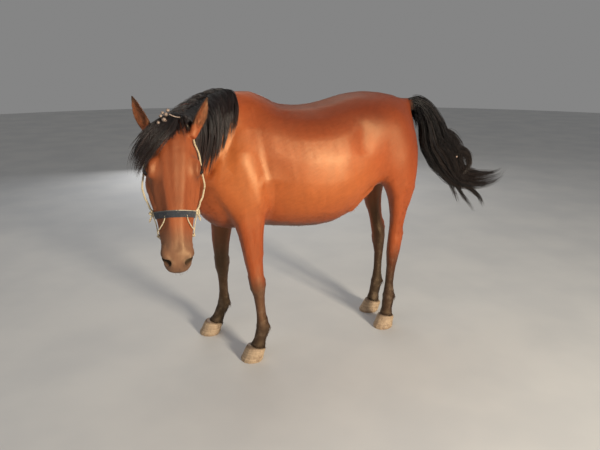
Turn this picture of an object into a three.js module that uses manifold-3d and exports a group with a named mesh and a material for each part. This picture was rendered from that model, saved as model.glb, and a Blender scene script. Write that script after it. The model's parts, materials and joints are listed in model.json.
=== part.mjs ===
// A life-size bay horse, standing with its neck bent to its left and its head lowered, in a rope halter.
// Millimetres, +Z up. The horse faces -X and its left side is towards -Y. Its four hooves stand on z = 0.
import * as THREE from 'three';
import { mergeVertices } from 'three/addons/utils/BufferGeometryUtils.js';
import Module from 'manifold-3d';

const wasm = await Module();
wasm.setup();

// ---------------------------------------------------------------- driving dimensions

const GAP = 0.4; // clearance left between two pieces that meet
const HOOF_SPREAD = { fore: 196, hind: 118 }; // hoof centre to the middle plane
const EYE_RADIUS = 21;
const EAR_LENGTH = 152;
const ROPE = 8; // halter rope
const CORD = 5; // thin cords by the mouth
const STRAP = { width: 28, thick: 3 }; // webbing noseband

// The head hangs from the poll: turned to the left, face tipped forward from the vertical, leaning a little.
const HEAD = { poll: [-839, -597, 1360], turn: 79.5, nod: 32.4, lean: -3.8 };

// ---------------------------------------------------------------- materials

const paint = (color, roughness) => new THREE.MeshStandardMaterial({ color, roughness, metalness: 0 });
const coat = paint(0xb8612f, 0.45);
const points = paint(0x3a2a22, 0.55); // dark lower legs
const hair = paint(0x17130f, 0.5);
const horn = paint(0xb79c7c, 0.6);
const eyeball = paint(0x140c08, 0.08);
const webbing = paint(0x4a5560, 0.8);
const rope = paint(0xd9c7a2, 0.85);

// ---------------------------------------------------------------- solids from lofted rings

const signedPower = (value, power) => Math.sign(value) * Math.abs(value) ** power;
const lerp = THREE.MathUtils.lerp;
const rad = THREE.MathUtils.degToRad;

// Rows of numbers smoothed by a Catmull-Rom curve, with perSpan steps from each row to the next.
function smoothRows(rows, perSpan) {
  const result = [];
  for (let i = 0; i < rows.length - 1; i += 1) {
    const before = rows[Math.max(i - 1, 0)];
    const after = rows[Math.min(i + 2, rows.length - 1)];
    for (let k = 0; k < perSpan; k += 1) {
      const t = k / perSpan;
      result.push(rows[i].map((value, j) => {
        const slopeIn = (rows[i + 1][j] - before[j]) / 2;
        const slopeOut = (after[j] - value) / 2;
        const rise = rows[i + 1][j] - value;
        const cubic = slopeIn + slopeOut - 2 * rise;
        const square = 3 * rise - 2 * slopeIn - slopeOut;
        return value + t * (slopeIn + t * (square + t * cubic));
      }));
    }
  }
  result.push(rows[rows.length - 1]);
  return result;
}

// The triangles that close a ring of count points, the way round that suits the first ring of a body:
// a fan about the point numbered middle, or a strip from side to side of a thin bent ring.
function fanCap(count, middle) {
  return Array.from({ length: count }, (_, i) => [middle, (i + 1) % count, i]);
}

function stripCap(count) {
  return Array.from({ length: count / 2 - 1 }, (_, i) => {
    const far = count - 1 - i;
    return [[i + 1, i, far], [i + 1, far, far - 1]];
  }).flat();
}

// A closed body through rings of points.
function loft(rings, thin = false) {
  const count = rings[0].length;
  const middle = (ring) => ring.reduce((sum, p) => sum.add(p), new THREE.Vector3()).divideScalar(count);
  const vertices = rings.flat();
  const index = [];
  for (let r = 0; r < rings.length - 1; r += 1) {
    for (let i = 0; i < count; i += 1) {
      const a = r * count + i;
      const b = r * count + ((i + 1) % count);
      index.push(a, b, b + count, a, b + count, a + count);
    }
  }
  const last = (rings.length - 1) * count;
  const startCap = thin ? stripCap(count) : fanCap(count, vertices.length);
  const endCap = thin ? stripCap(count) : fanCap(count, vertices.length + 1 - last);
  index.push(...startCap.flat());
  index.push(...endCap.flatMap(([a, b, c]) => [a + last, c + last, b + last]));
  if (!thin) {
    vertices.push(middle(rings[0]), middle(rings[rings.length - 1]));
  }
  const geometry = new THREE.BufferGeometry().setFromPoints(vertices);
  geometry.setIndex(index);
  return solid(geometry);
}

// A three.js geometry as a manifold solid, turned the right way out.
function solid(geometry) {
  const bare = geometry.clone();
  bare.deleteAttribute('normal');
  bare.deleteAttribute('uv');
  const merged = mergeVertices(bare, 1e-3);
  const vertProperties = new Float32Array(merged.attributes.position.array);
  const triVerts = new Uint32Array(merged.index.array);
  let body = new wasm.Manifold(new wasm.Mesh({ numProp: 3, vertProperties, triVerts }));
  if (body.volume() < 0) {
    for (let i = 0; i < triVerts.length; i += 3) {
      [triVerts[i], triVerts[i + 1]] = [triVerts[i + 1], triVerts[i]];
    }
    body = new wasm.Manifold(new wasm.Mesh({ numProp: 3, vertProperties, triVerts }));
  }
  return body;
}

function geometryOf(body) {
  const mesh = body.getMesh();
  const geometry = new THREE.BufferGeometry();
  geometry.setAttribute('position', new THREE.BufferAttribute(new Float32Array(mesh.vertProperties), 3));
  geometry.setIndex(new THREE.BufferAttribute(new Uint32Array(mesh.triVerts), 1));
  geometry.computeVertexNormals();
  return geometry;
}

// The same solid with its surface moved outwards.
function grown(body, distance) {
  const geometry = geometryOf(body);
  const { position, normal } = geometry.attributes;
  for (let i = 0; i < position.count; i += 1) {
    position.setXYZ(
      i,
      position.getX(i) + normal.getX(i) * distance,
      position.getY(i) + normal.getY(i) * distance,
      position.getZ(i) + normal.getZ(i) * distance,
    );
  }
  return solid(geometry);
}

// A body cut back so that it stays clear of each of its neighbours.
function clearOf(body, ...neighbours) {
  return neighbours.reduce((rest, other) => rest.subtract(grown(other, GAP)), body);
}

// Small loose scraps that a cut leaves are dropped: the piece is its largest body.
function largest(body) {
  const bodies = body.decompose();
  return bodies.reduce((best, one) => (one.volume() > best.volume() ? one : best));
}

function ellipsoid(centre, radii, matrix, segments) {
  const geometry = new THREE.SphereGeometry(1, segments, Math.round(segments * 0.7));
  geometry.scale(...radii);
  geometry.translate(...centre);
  if (matrix) {
    geometry.applyMatrix4(matrix);
  }
  return solid(geometry);
}

function block(low, high) {
  const size = high.map((value, i) => value - low[i]);
  const geometry = new THREE.BoxGeometry(...size);
  geometry.translate(...low.map((value, i) => value + size[i] / 2));
  return solid(geometry);
}

// ---------------------------------------------------------------- trunk

const TRUNK_SIDES = 20;

// x, back line, belly line, half width, height of the widest place, pinch of the back, pinch of the belly
const TRUNK = [
  [-674, 1020, 930, 35, 980, 1, 1],
  [-657, 1100, 850, 105, 985, 1, 1],
  [-615, 1190, 776, 160, 990, 1, 1],
  [-550, 1300, 722, 192, 1000, 1.1, 0.95],
  [-480, 1395, 702, 205, 1005, 1.35, 0.9],
  [-410, 1430, 700, 212, 1005, 1.45, 0.9],
  [-340, 1427, 702, 220, 1000, 1.4, 0.9],
  [-265, 1397, 698, 230, 990, 1.2, 0.9],
  [-190, 1358, 690, 246, 975, 1, 0.88],
  [-100, 1347, 681, 268, 960, 0.92, 0.86],
  [0, 1352, 677, 282, 955, 0.9, 0.86],
  [95, 1371, 686, 284, 965, 0.9, 0.87],
  [180, 1395, 716, 275, 990, 0.92, 0.9],
  [260, 1406, 772, 261, 1050, 0.95, 0.95],
  [340, 1408, 840, 250, 1110, 0.97, 1],
  [420, 1401, 885, 240, 1130, 0.97, 1],
  [500, 1386, 915, 222, 1140, 1, 1],
  [556, 1371, 975, 184, 1155, 1, 1],
  [590, 1360, 1035, 136, 1175, 1, 1],
  [612, 1345, 1100, 84, 1210, 1, 1],
  [626, 1325, 1190, 30, 1255, 1, 1],
];

function trunkRing([x, back, belly, half, widest, pinchBack, pinchBelly]) {
  return Array.from({ length: TRUNK_SIDES }, (_, i) => {
    const angle = (2 * Math.PI * i) / TRUNK_SIDES;
    const up = Math.cos(angle);
    const reach = up > 0 ? back - widest : widest - belly;
    const side = signedPower(Math.sin(angle), up > 0 ? pinchBack : pinchBelly);
    return new THREE.Vector3(x, half * side, widest + reach * up);
  });
}

// ---------------------------------------------------------------- neck

const NECK_SIDES = 16;

// crest x, y, z, underline x, y, z, half width, from inside the trunk to inside the head
const NECK = [
  [-330, 5, 1395, -590, 5, 870, 150],
  [-425, 0, 1428, -660, 0, 950, 168],
  [-505, -35, 1430, -714, -48, 998, 152],
  [-582, -98, 1410, -766, -122, 1034, 131],
  [-656, -185, 1381, -812, -215, 1062, 113],
  [-727, -300, 1353, -843, -318, 1090, 100],
  [-785, -415, 1344, -852, -408, 1124, 90],
  [-820, -510, 1342, -843, -478, 1164, 84],
  [-834, -575, 1330, -836, -530, 1192, 66],
];

// A ring stands across the neck: thin at the crest, fuller below the middle.
function neckRing(row, previous, next) {
  const crest = new THREE.Vector3(row[0], row[1], row[2]);
  const under = new THREE.Vector3(row[3], row[4], row[5]);
  const centre = crest.clone().add(under).multiplyScalar(0.5);
  const up = crest.clone().sub(under).multiplyScalar(0.5);
  const along = new THREE.Vector3(
    next[0] + next[3] - previous[0] - previous[3],
    next[1] + next[4] - previous[1] - previous[4],
    next[2] + next[5] - previous[2] - previous[5],
  );
  const side = along.cross(up).normalize().multiplyScalar(-row[6]);
  return Array.from({ length: NECK_SIDES }, (_, i) => {
    const angle = (2 * Math.PI * i) / NECK_SIDES;
    const height = Math.cos(angle);
    const width = signedPower(Math.sin(angle), height > 0 ? 1.15 : 0.9) * (1 - 0.12 * height);
    return centre.clone().addScaledVector(up, height).addScaledVector(side, width);
  });
}

function neckRings(perSpan) {
  const rows = smoothRows(NECK, perSpan);
  const last = rows.length - 1;
  return rows.map((row, i) => neckRing(row, rows[Math.max(i - 1, 0)], rows[Math.min(i + 1, last)]));
}

// ---------------------------------------------------------------- legs

const LEG_SIDES = 10;

// height, reach to the front, reach to the back, half width
const FORE_LEG = [
  [1190, 130, 150, 60],
  [1090, 190, 150, 84],
  [985, 222, 134, 92],
  [905, 180, 122, 90],
  [835, 126, 106, 84],
  [780, 95, 88, 76],
  [720, 75, 70, 68],
  [640, 63, 58, 57],
  [560, 55, 50, 48],
  [490, 47, 42, 43],
  [430, 44, 40, 46],
  [392, 39, 37, 43],
  [362, 31, 31, 34],
  [315, 27, 26, 28],
  [255, 26, 27, 26],
  [215, 30, 33, 29],
  [178, 35, 40, 34],
  [145, 34, 37, 33],
  [112, 33, 34, 31],
  [86, 38, 40, 38],
  [60, 40, 42, 42],
  [30, 30, 30, 32],
];
const HIND_LEG = [
  [1290, 90, 90, 50],
  [1225, 150, 140, 80],
  [1145, 182, 160, 100],
  [1060, 180, 152, 108],
  [990, 156, 136, 106],
  [930, 124, 108, 97],
  [880, 96, 88, 84],
  [830, 76, 72, 70],
  [775, 61, 59, 58],
  [710, 50, 50, 48],
  [650, 44, 43, 42],
  [600, 43, 43, 40],
  [555, 43, 49, 41],
  [520, 43, 46, 42],
  [480, 40, 40, 40],
  [435, 34, 34, 35],
  [390, 28, 28, 29],
  [335, 26, 26, 26],
  [280, 25, 27, 25],
  [235, 29, 33, 28],
  [200, 34, 39, 32],
  [160, 33, 35, 31],
  [118, 32, 33, 30],
  [86, 37, 38, 37],
  [60, 39, 41, 41],
  [30, 30, 30, 32],
];

// The middle line of each leg: height, x and distance from the middle plane. Hoof: x, toe turned out, width.
const LEGS = [
  {
    name: 'fore_left',
    side: -1,
    profile: FORE_LEG,
    line: [[1190, -400, 120], [985, -405, 136], [835, -402, 152], [720, -396, 166], [560, -385, 181],
      [430, -371, 191], [255, -357, 195], [178, -350, 196], [112, -368, 196], [60, -390, 196],
      [30, -396, 196]],
    hoof: { x: -412, spread: HOOF_SPREAD.fore, toeOut: 5, half: 62 },
  },
  {
    name: 'fore_right',
    side: 1,
    profile: FORE_LEG,
    line: [[1190, -410, 120], [985, -425, 136], [835, -443, 152], [720, -458, 165], [560, -469, 179],
      [430, -466, 189], [255, -464, 194], [178, -466, 196], [112, -496, 196], [60, -528, 196],
      [30, -538, 196]],
    hoof: { x: -553, spread: HOOF_SPREAD.fore, toeOut: 5, half: 62 },
  },
  {
    name: 'hind_left',
    side: -1,
    profile: HIND_LEG,
    line: [[1290, 440, 112], [1145, 458, 138], [1060, 460, 144], [930, 494, 148], [830, 506, 144],
      [710, 508, 135], [600, 502, 127], [520, 499, 122], [390, 489, 120], [280, 480, 119], [200, 480, 118],
      [118, 472, 118], [60, 464, 118], [30, 460, 118]],
    hoof: { x: 452, spread: HOOF_SPREAD.hind, toeOut: 22, half: 56 },
  },
  {
    name: 'hind_right',
    side: 1,
    profile: HIND_LEG,
    line: [[1290, 440, 112], [1145, 458, 138], [1060, 460, 144], [930, 482, 148], [830, 488, 144],
      [710, 497, 135], [600, 518, 127], [520, 532, 122], [390, 539, 120], [280, 534, 119], [200, 530, 118],
      [118, 514, 118], [60, 502, 118], [30, 496, 118]],
    hoof: { x: 484, spread: HOOF_SPREAD.hind, toeOut: 14, half: 56 },
  },
];

// The value of a table at a height, straight between its rows, which run from the top down.
function atHeight(table, height) {
  let i = 0;
  while (i < table.length - 2 && height < table[i + 1][0]) {
    i += 1;
  }
  const t = (height - table[i][0]) / (table[i + 1][0] - table[i][0]);
  return table[i].map((value, j) => lerp(value, table[i + 1][j], t));
}

function legSolid({ side, profile, line }) {
  const rings = profile.map(([height, front, back, half]) => {
    const [, x, spread] = atHeight(line, height);
    return Array.from({ length: LEG_SIDES }, (_, i) => {
      const angle = (2 * Math.PI * i) / LEG_SIDES;
      const forward = signedPower(Math.cos(angle), 0.92);
      const across = signedPower(Math.sin(angle), 0.92);
      const reach = forward > 0 ? front : back;
      return new THREE.Vector3(x - reach * forward, side * spread + half * across, height);
    });
  });
  return loft(rings);
}

const HOOF_SIDES = 14;

// A hoof: a sloping wall from a tilted top edge down to a flat sole, blunt at the heel.
function hoofSolid({ side, hoof }) {
  const { x, spread, toeOut, half } = hoof;
  const levels = [0, 0.1, 0.9, 1];
  const shrink = [0.98, 1, 0.86, 0.8];
  const rings = levels.map((level, k) => Array.from({ length: HOOF_SIDES }, (_, i) => {
    const angle = (2 * Math.PI * i) / HOOF_SIDES;
    const forward = Math.cos(angle);
    const reach = forward > 0 ? 66 : 54;
    const across = Math.sin(angle) * (forward > 0 ? 1 : 1 - 0.16 * forward * forward);
    const top = lerp(58, 84, (forward + 1) / 2);
    return new THREE.Vector3(
      -reach * signedPower(forward, 0.9) * shrink[k] + level * 30,
      half * across * shrink[k],
      level * top,
    );
  }));
  const matrix = new THREE.Matrix4().makeRotationZ(rad(-side * toeOut));
  matrix.setPosition(x, side * spread, 0);
  rings.forEach((ring) => ring.forEach((point) => point.applyMatrix4(matrix)));
  return loft(rings);
}

// ---------------------------------------------------------------- head

const HEAD_SIDES = 18;

// Distance down the face, face line, jaw line, then half widths at the brow, the cheek and the jaw.
const HEAD_ROWS = [
  [-30, -28, -85, 26, 30, 24],
  [0, 2, -125, 58, 64, 46],
  [45, 14, -160, 78, 80, 60],
  [100, 20, -196, 92, 92, 70],
  [150, 19, -232, 102, 101, 70],
  [200, 13, -250, 102, 105, 64],
  [250, 5, -246, 92, 108, 60],
  [300, -2, -218, 76, 100, 54],
  [350, -7, -186, 62, 84, 52],
  [400, -12, -162, 53, 71, 51],
  [450, -18, -146, 49, 66, 56],
  [500, -24, -136, 51, 62, 53],
  [540, -33, -130, 53, 60, 48],
  [572, -48, -123, 49, 50, 34],
  [593, -64, -113, 34, 36, 26],
  [600, -78, -100, 14, 15, 12],
];

const headMatrix = (() => {
  const turn = rad(HEAD.turn);
  const nod = rad(HEAD.nod);
  const heading = new THREE.Vector3(-Math.cos(turn), -Math.sin(turn), 0);
  const down = heading.clone().multiplyScalar(Math.sin(nod)).add(new THREE.Vector3(0, 0, -Math.cos(nod)));
  const left = new THREE.Vector3(0, 0, 1).cross(heading).applyAxisAngle(down, rad(HEAD.lean));
  const matrix = new THREE.Matrix4().makeBasis(down, left, down.clone().cross(left));
  return matrix.setPosition(...HEAD.poll);
})();
const headPoint = (x, y, z) => new THREE.Vector3(x, y, z).applyMatrix4(headMatrix);

function headRing([x, face, jawLine, brow, cheek, jaw]) {
  const middle = (face + jawLine) / 2;
  const tall = (face - jawLine) / 2;
  return Array.from({ length: HEAD_SIDES }, (_, i) => {
    const angle = (2 * Math.PI * i) / HEAD_SIDES;
    const height = Math.cos(angle);
    const toward = height > 0 ? brow : jaw;
    const half = lerp(cheek, toward, Math.min(1, Math.abs(height) / 0.7) ** 1.5);
    return headPoint(x, half * signedPower(Math.sin(angle), 0.72), middle + tall * height);
  });
}

function headSolid() {
  let body = loft(HEAD_ROWS.map(headRing));
  for (const side of [-1, 1]) {
    const lumps = [
      [[196, side * 84, -34], [42, 31, 33]], // eye socket
      [[215, side * 60, -150], [78, 47, 78]], // cheek muscle
      [[532, side * 36, -62], [36, 25, 26]], // nostril
    ];
    for (const [centre, radii] of lumps) {
      body = body.add(ellipsoid(centre, radii, headMatrix, 8));
    }
  }
  return body.add(ellipsoid([556, 0, -120], [34, 32, 20], headMatrix, 8)); // chin
}

const eyeCentre = (side) => [203, side * 93, -40];

// ---------------------------------------------------------------- ears

const EAR_ARC = 6;

// part of the length, half width, depth of the shell, depth of its hollow
const EAR_ROWS = [
  [-0.18, 18, 17, -15],
  [0.02, 22, 21, -11],
  [0.16, 25, 22, 7],
  [0.36, 27, 21, 14],
  [0.56, 24, 17.5, 11.5],
  [0.74, 17, 13, 7.5],
  [0.9, 9, 8, 2.5],
  [1, 2, 2.5, -1.5],
];

// A leaf-shaped shell, closed and round at its root. Its hollow looks out to the side and forward.
function earSolid(side) {
  const base = headPoint(46, side * 88, -14);
  const tip = headPoint(-100, side * 151, -6);
  const along = tip.clone().sub(base).normalize();
  const opening = headPoint(0, side * 0.72, 0.7).sub(headPoint(0, 0, 0));
  opening.addScaledVector(along, -opening.dot(along)).normalize();
  const across = along.clone().cross(opening);
  const rings = EAR_ROWS.map(([part, half, shell, hollow]) => {
    const centre = base.clone().addScaledVector(along, part * EAR_LENGTH);
    const ring = [];
    for (let i = 0; i < EAR_ARC * 2; i += 1) {
      const outer = i < EAR_ARC;
      const step = outer ? i : 2 * EAR_ARC - 1 - i;
      const angle = rad(lerp(-90, 90, step / (EAR_ARC - 1)));
      const inset = outer ? 1 : 0.9;
      const depth = outer ? shell : hollow;
      ring.push(centre.clone()
        .addScaledVector(across, half * inset * Math.sin(angle))
        .addScaledVector(opening, -depth * Math.cos(angle) + (outer ? 0 : 1.5)));
    }
    return ring;
  });
  return loft(rings);
}

// ---------------------------------------------------------------- mane, forelock and tail

// The mane lies over the left of the neck, at each step from withers to poll: length down the neck,
// height of its inner face above the skin.
const MANE = [
  [130, 14],
  [250, 16],
  [350, 14],
  [418, 7],
  [448, 4],
  [435, 4],
  [390, 4],
  [335, 4],
  [270, 4],
];
const MANE_THICK = 15;
const MANE_STEPS = [0, 0.07, 0.16, 0.28, 0.46, 0.72, 1]; // parts of the way down
const MANE_RINGS = [3, 16]; // the rings of the neck it grows on

// Down from the crest over the skin to the widest place, and then straight down.
function maneSection(ring, [fall, lift]) {
  const path = [ring[NECK_SIDES - 1], ...ring.slice(0, NECK_SIDES / 4 + 1)];
  const centre = ring[NECK_SIDES / 2].clone().add(ring[0]).multiplyScalar(0.5);
  const outward = path.map((point, i) => {
    const around = path[Math.min(i + 1, path.length - 1)].clone().sub(path[Math.max(i - 1, 0)]);
    const out = point.clone().sub(centre);
    return out.addScaledVector(around, -out.dot(around) / around.lengthSq()).normalize();
  });
  const lay = MANE_STEPS.map((step) => {
    let left = fall * step;
    let i = 0;
    while (i < path.length - 2 && left > path[i].distanceTo(path[i + 1])) {
      left -= path[i].distanceTo(path[i + 1]);
      i += 1;
    }
    const part = left / path[i].distanceTo(path[i + 1]);
    const point = path[i].clone().lerp(path[i + 1], Math.min(part, 1));
    point.z -= Math.max(part - 1, 0) * path[i].distanceTo(path[i + 1]);
    const out = outward[i].clone().lerp(outward[i + 1], Math.min(part, 1)).normalize();
    return { point, out, fullness: MANE_THICK * Math.sin(Math.PI * lerp(0.16, 0.93, step)) };
  });
  return [
    ...lay.map(({ point, out, fullness }) => point.clone().addScaledVector(out, lift + 2 + fullness)),
    ...lay.map(({ point, out }) => point.clone().addScaledVector(out, lift)).reverse(),
  ];
}

function maneSolid() {
  const rings = neckRings(2).slice(...MANE_RINGS);
  const rows = smoothRows(MANE, 2).slice(...MANE_RINGS);
  return loft(rings.map((ring, i) => maneSection(ring, rows[i])), true);
}

// The direction from the row before to the row after, where each row starts with x, y, z.
function directionAt(rows, i) {
  const before = rows[Math.max(i - 1, 0)];
  const after = rows[Math.min(i + 1, rows.length - 1)];
  return new THREE.Vector3(...after.slice(0, 3)).sub(new THREE.Vector3(...before.slice(0, 3))).normalize();
}

// Down the head from between the ears and out over the right eye: x, y, z, half width, half thickness.
const FORELOCK = [
  [-12, 4, 12, 14, 10],
  [20, -6, 26, 30, 15],
  [60, -38, 34, 42, 17],
  [105, -78, 30, 44, 18],
  [150, -112, 10, 38, 19],
  [195, -134, -18, 26, 16],
  [235, -142, -42, 10, 8],
];
const FORELOCK_SIDES = 8;

function forelockSolid() {
  const rows = smoothRows(FORELOCK, 2);
  const rings = rows.map((row, i) => {
    const along = directionAt(rows, i);
    const out = new THREE.Vector3(0, -0.45, 0.9);
    out.addScaledVector(along, -out.dot(along)).normalize();
    const across = along.clone().cross(out);
    return Array.from({ length: FORELOCK_SIDES }, (_, k) => {
      const angle = (2 * Math.PI * k) / FORELOCK_SIDES;
      return new THREE.Vector3(row[0], row[1], row[2])
        .addScaledVector(across, row[3] * Math.cos(angle))
        .addScaledVector(out, row[4] * Math.sin(angle))
        .applyMatrix4(headMatrix);
    });
  });
  return loft(rings);
}

// Tails are lofted along x, y, z with a half height in the swing's plane and a half thickness across it.
const DOCK = [
  [560, 0, 1322, 46, 42],
  [640, 0, 1326, 41, 37],
  [700, 2, 1302, 35, 31],
  [750, 6, 1250, 29, 27],
  [782, 10, 1190, 23, 22],
  [803, 14, 1130, 16, 16],
  [815, 16, 1090, 8, 8],
];
const TAIL_HAIR = [
  [650, 0, 1338, 30, 30],
  [690, 1, 1328, 38, 42],
  [752, 4, 1276, 55, 56],
  [800, 8, 1192, 80, 64],
  [838, 14, 1106, 104, 68],
  [905, 22, 1047, 134, 66],
  [962, 28, 978, 128, 60],
  [1004, 32, 908, 96, 54],
  [1066, 35, 862, 84, 48],
  [1180, 38, 836, 68, 42],
  [1292, 40, 832, 60, 34],
  [1375, 41, 852, 46, 22],
  [1440, 42, 905, 9, 8],
];
const TAIL_SIDES = 10;

function tailLoft(table, perSpan) {
  const rows = smoothRows(table, perSpan);
  const rings = rows.map((row, i) => {
    const along = directionAt(rows, i);
    const across = new THREE.Vector3(0, 1, 0).addScaledVector(along, -along.y).normalize();
    const up = across.clone().cross(along);
    return Array.from({ length: TAIL_SIDES }, (_, k) => {
      const angle = (2 * Math.PI * k) / TAIL_SIDES;
      return new THREE.Vector3(row[0], row[1], row[2])
        .addScaledVector(up, row[3] * Math.cos(angle))
        .addScaledVector(across, row[4] * Math.sin(angle));
    });
  });
  return loft(rings);
}

// ---------------------------------------------------------------- halter

const STRAP_SIDES = 20;
const NOSEBAND = { front: 388, tilt: 14, lift: 2.5 }; // where it crosses the face, how its back rises
const CORD_SIDES = 5;

// Where a ray from the middle of the head leaves its surface. Angle 0 looks out of the face, 90 to the side.
function outsideOf(target, [x, angle], side, lift, slant = 0) {
  const row = HEAD_ROWS[Math.max(HEAD_ROWS.findIndex(([down]) => down >= x), 0)];
  const middle = (row[1] + row[2]) / 2;
  const across = side * Math.sin(rad(angle));
  const forward = Math.cos(rad(angle));
  const from = headPoint(x, 0, middle);
  const to = headPoint(x + slant * forward, across, middle + forward);
  const ray = new THREE.Raycaster(from, to.sub(from).normalize(), 0, 400);
  const hits = ray.intersectObject(target);
  return hits[hits.length - 1].point.addScaledVector(ray.ray.direction, lift);
}

// A strap's loop: four corners to each section, and the last section joined to the first.
function strapSolid(target) {
  const slope = Math.tan(rad(NOSEBAND.tilt));
  const sections = Array.from({ length: STRAP_SIDES }, (_, k) => {
    const angle = (360 * k) / STRAP_SIDES;
    return [-0.5, 0.5].map((edge) => {
      const place = [NOSEBAND.front + edge * STRAP.width - 80 * slope, angle];
      const inner = outsideOf(target, place, 1, NOSEBAND.lift, slope);
      const outer = outsideOf(target, place, 1, NOSEBAND.lift + STRAP.thick, slope);
      return edge < 0 ? [inner, outer] : [outer, inner];
    }).flat();
  });
  const index = [];
  for (let k = 0; k < STRAP_SIDES; k += 1) {
    for (let i = 0; i < 4; i += 1) {
      const a = k * 4 + i;
      const b = k * 4 + ((i + 1) % 4);
      const c = ((k + 1) % STRAP_SIDES) * 4 + ((i + 1) % 4);
      const d = ((k + 1) % STRAP_SIDES) * 4 + i;
      index.push(a, b, c, a, c, d);
    }
  }
  const geometry = new THREE.BufferGeometry().setFromPoints(sections.flat());
  geometry.setIndex(index);
  return solid(geometry);
}

function cordSolid(points, diameter, steps) {
  const section = new THREE.Shape(Array.from({ length: CORD_SIDES }, (_, k) => {
    const angle = (2 * Math.PI * k) / CORD_SIDES;
    return new THREE.Vector2(Math.cos(angle), Math.sin(angle)).multiplyScalar(diameter / 2);
  }));
  const path = new THREE.CatmullRomCurve3(points, false, 'centripetal');
  return solid(new THREE.ExtrudeGeometry(section, { steps, extrudePath: path, bevelEnabled: false }));
}

// Half of the rope that goes over the poll, from the knot at the cheek up behind the eye and the ear:
// distance down the head, angle, how far it stands off the skin.
const CROWN_ROPE = [[352, 92, 2], [322, 88, 9], [280, 84, 14], [236, 80, 13], [192, 77, 8], [150, 74, 5],
  [108, 70, 4], [62, 66, 3], [22, 52, 2], [0, 30, 2]];
const CROWN_MIDDLE = [-4, 0, 2];

// Half of the thin cord from the front of the noseband to the corner of the mouth, and on under the chin.
const MOUTH_CORNER = [452, 96, 3];
const MOUTH_CORD = [[404, 40, 2], [424, 58, 3], [442, 80, 3], MOUTH_CORNER, [466, 130, 3], [474, 160, 3]];
const MOUTH_MIDDLE = [476, 180, 3];

// The thin cord on each side, from the knot at the cheek to the corner of the mouth.
const CHEEK_KNOT = [356, 94, 9];
const SIDE_CORD = [CHEEK_KNOT, [386, 92, 6], [420, 93, 4], MOUTH_CORNER];
const KNOT = { cheek: 11, mouth: 5.5 }; // radii
const KNOT_SEGMENTS = 7;

function routeOn(target, places, side, thickness) {
  return places.map(([x, angle, lift]) => outsideOf(target, [x, angle], side, lift + thickness / 2));
}

// From the left end over the middle to the right end.
function routeAcross(target, half, middle, thickness) {
  return [
    ...routeOn(target, [...half, middle], 1, thickness),
    ...routeOn(target, half, -1, thickness).reverse(),
  ];
}

function knotSolid(target, place, side, radius) {
  const [centre] = routeOn(target, [place], side, 0);
  return ellipsoid(centre.toArray(), [radius, radius, radius], null, KNOT_SEGMENTS);
}

// ---------------------------------------------------------------- assembly

const horse = new THREE.Group();

function add(name, body, material) {
  const mesh = new THREE.Mesh(geometryOf(largest(body)), material.clone());
  mesh.name = name;
  horse.add(mesh);
}

const trunk = loft(TRUNK.map(trunkRing));
const neck = loft(neckRings(2));
const head = headSolid();
const dock = tailLoft(DOCK, 1);
const legs = LEGS.map((leg) => ({ ...leg, whole: legSolid(leg), hoofBody: hoofSolid(leg) }));
const flesh = legs.reduce((sum, leg) => sum.add(leg.whole), trunk.add(neck).add(dock));

// Thin cuts part the flesh. Each half of a cut stands back from it by half the gap.
const half = GAP / 2;
const FORE_CUT = 707;
const HIND_CUT = 850;
const KNEE_CUT = 478;
const HOCK_CUT = 620;

function legBox(leg, low, high) {
  const hind = leg.name.startsWith('hind');
  const inner = hind ? 4 : 70;
  const x = hind ? [385, 720] : [-680, -230];
  const y = leg.side < 0 ? [-330, -inner] : [inner, 330];
  return block([x[0], y[0], low], [x[1], y[1], high]);
}

let torso = flesh;
for (const leg of legs) {
  const hind = leg.name.startsWith('hind');
  const top = hind ? HIND_CUT : FORE_CUT;
  const middle = hind ? HOCK_CUT : KNEE_CUT;
  const cut = flesh.intersect(legBox(leg, -50, top - half));
  add(`${leg.name}_upper`, cut.intersect(legBox(leg, middle + half, top)), coat);
  add(`${leg.name}_lower`, clearOf(cut.intersect(legBox(leg, -50, middle - half)), leg.hoofBody), points);
  add(`${leg.name}_hoof`, leg.hoofBody, horn);
  torso = torso.subtract(legBox(leg, -60, top + half));
}

// The neck is parted from the trunk by a plane from the withers to the breast.
const NECK_CUT = { withers: [-425, 1440], breast: [-690, 960] };
function frontOfCut(shift) {
  const [x1, z1] = NECK_CUT.withers;
  const [x2, z2] = NECK_CUT.breast;
  const slope = Math.atan2(x1 - x2, z1 - z2);
  const size = 1400;
  const geometry = new THREE.BoxGeometry(size, size * 2, size);
  geometry.translate(-size / 2 - shift, 0, 0);
  geometry.rotateY(slope);
  geometry.translate((x1 + x2) / 2, 0, (z1 + z2) / 2);
  return solid(geometry);
}
const tailBox = (edge) => block([edge, -80, 1040], [1000, 80, 1500]);
const TAIL_CUT = 637;

const neckPiece = torso.intersect(frontOfCut(half));
const trunkPiece = torso.subtract(frontOfCut(-half)).subtract(tailBox(TAIL_CUT - half));
const dockPiece = torso.intersect(tailBox(TAIL_CUT + half));

add('trunk', trunkPiece, coat);
add('neck', clearOf(neckPiece, head), coat);
add('tail', dockPiece, coat);

const eyeRadii = [EYE_RADIUS, EYE_RADIUS, EYE_RADIUS];
const eyes = [-1, 1].map((side) => ellipsoid(eyeCentre(side), eyeRadii, headMatrix, 10));
add('head', clearOf(head, ...eyes), coat);
add('eye_left', eyes[1], eyeball);
add('eye_right', eyes[0], eyeball);
const ears = [-1, 1].map((side) => earSolid(side));
add('ear_left', clearOf(ears[1], head), coat);
add('ear_right', clearOf(ears[0], head), coat);

add('tail_hair', clearOf(tailLoft(TAIL_HAIR, 1), flesh), hair);

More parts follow.
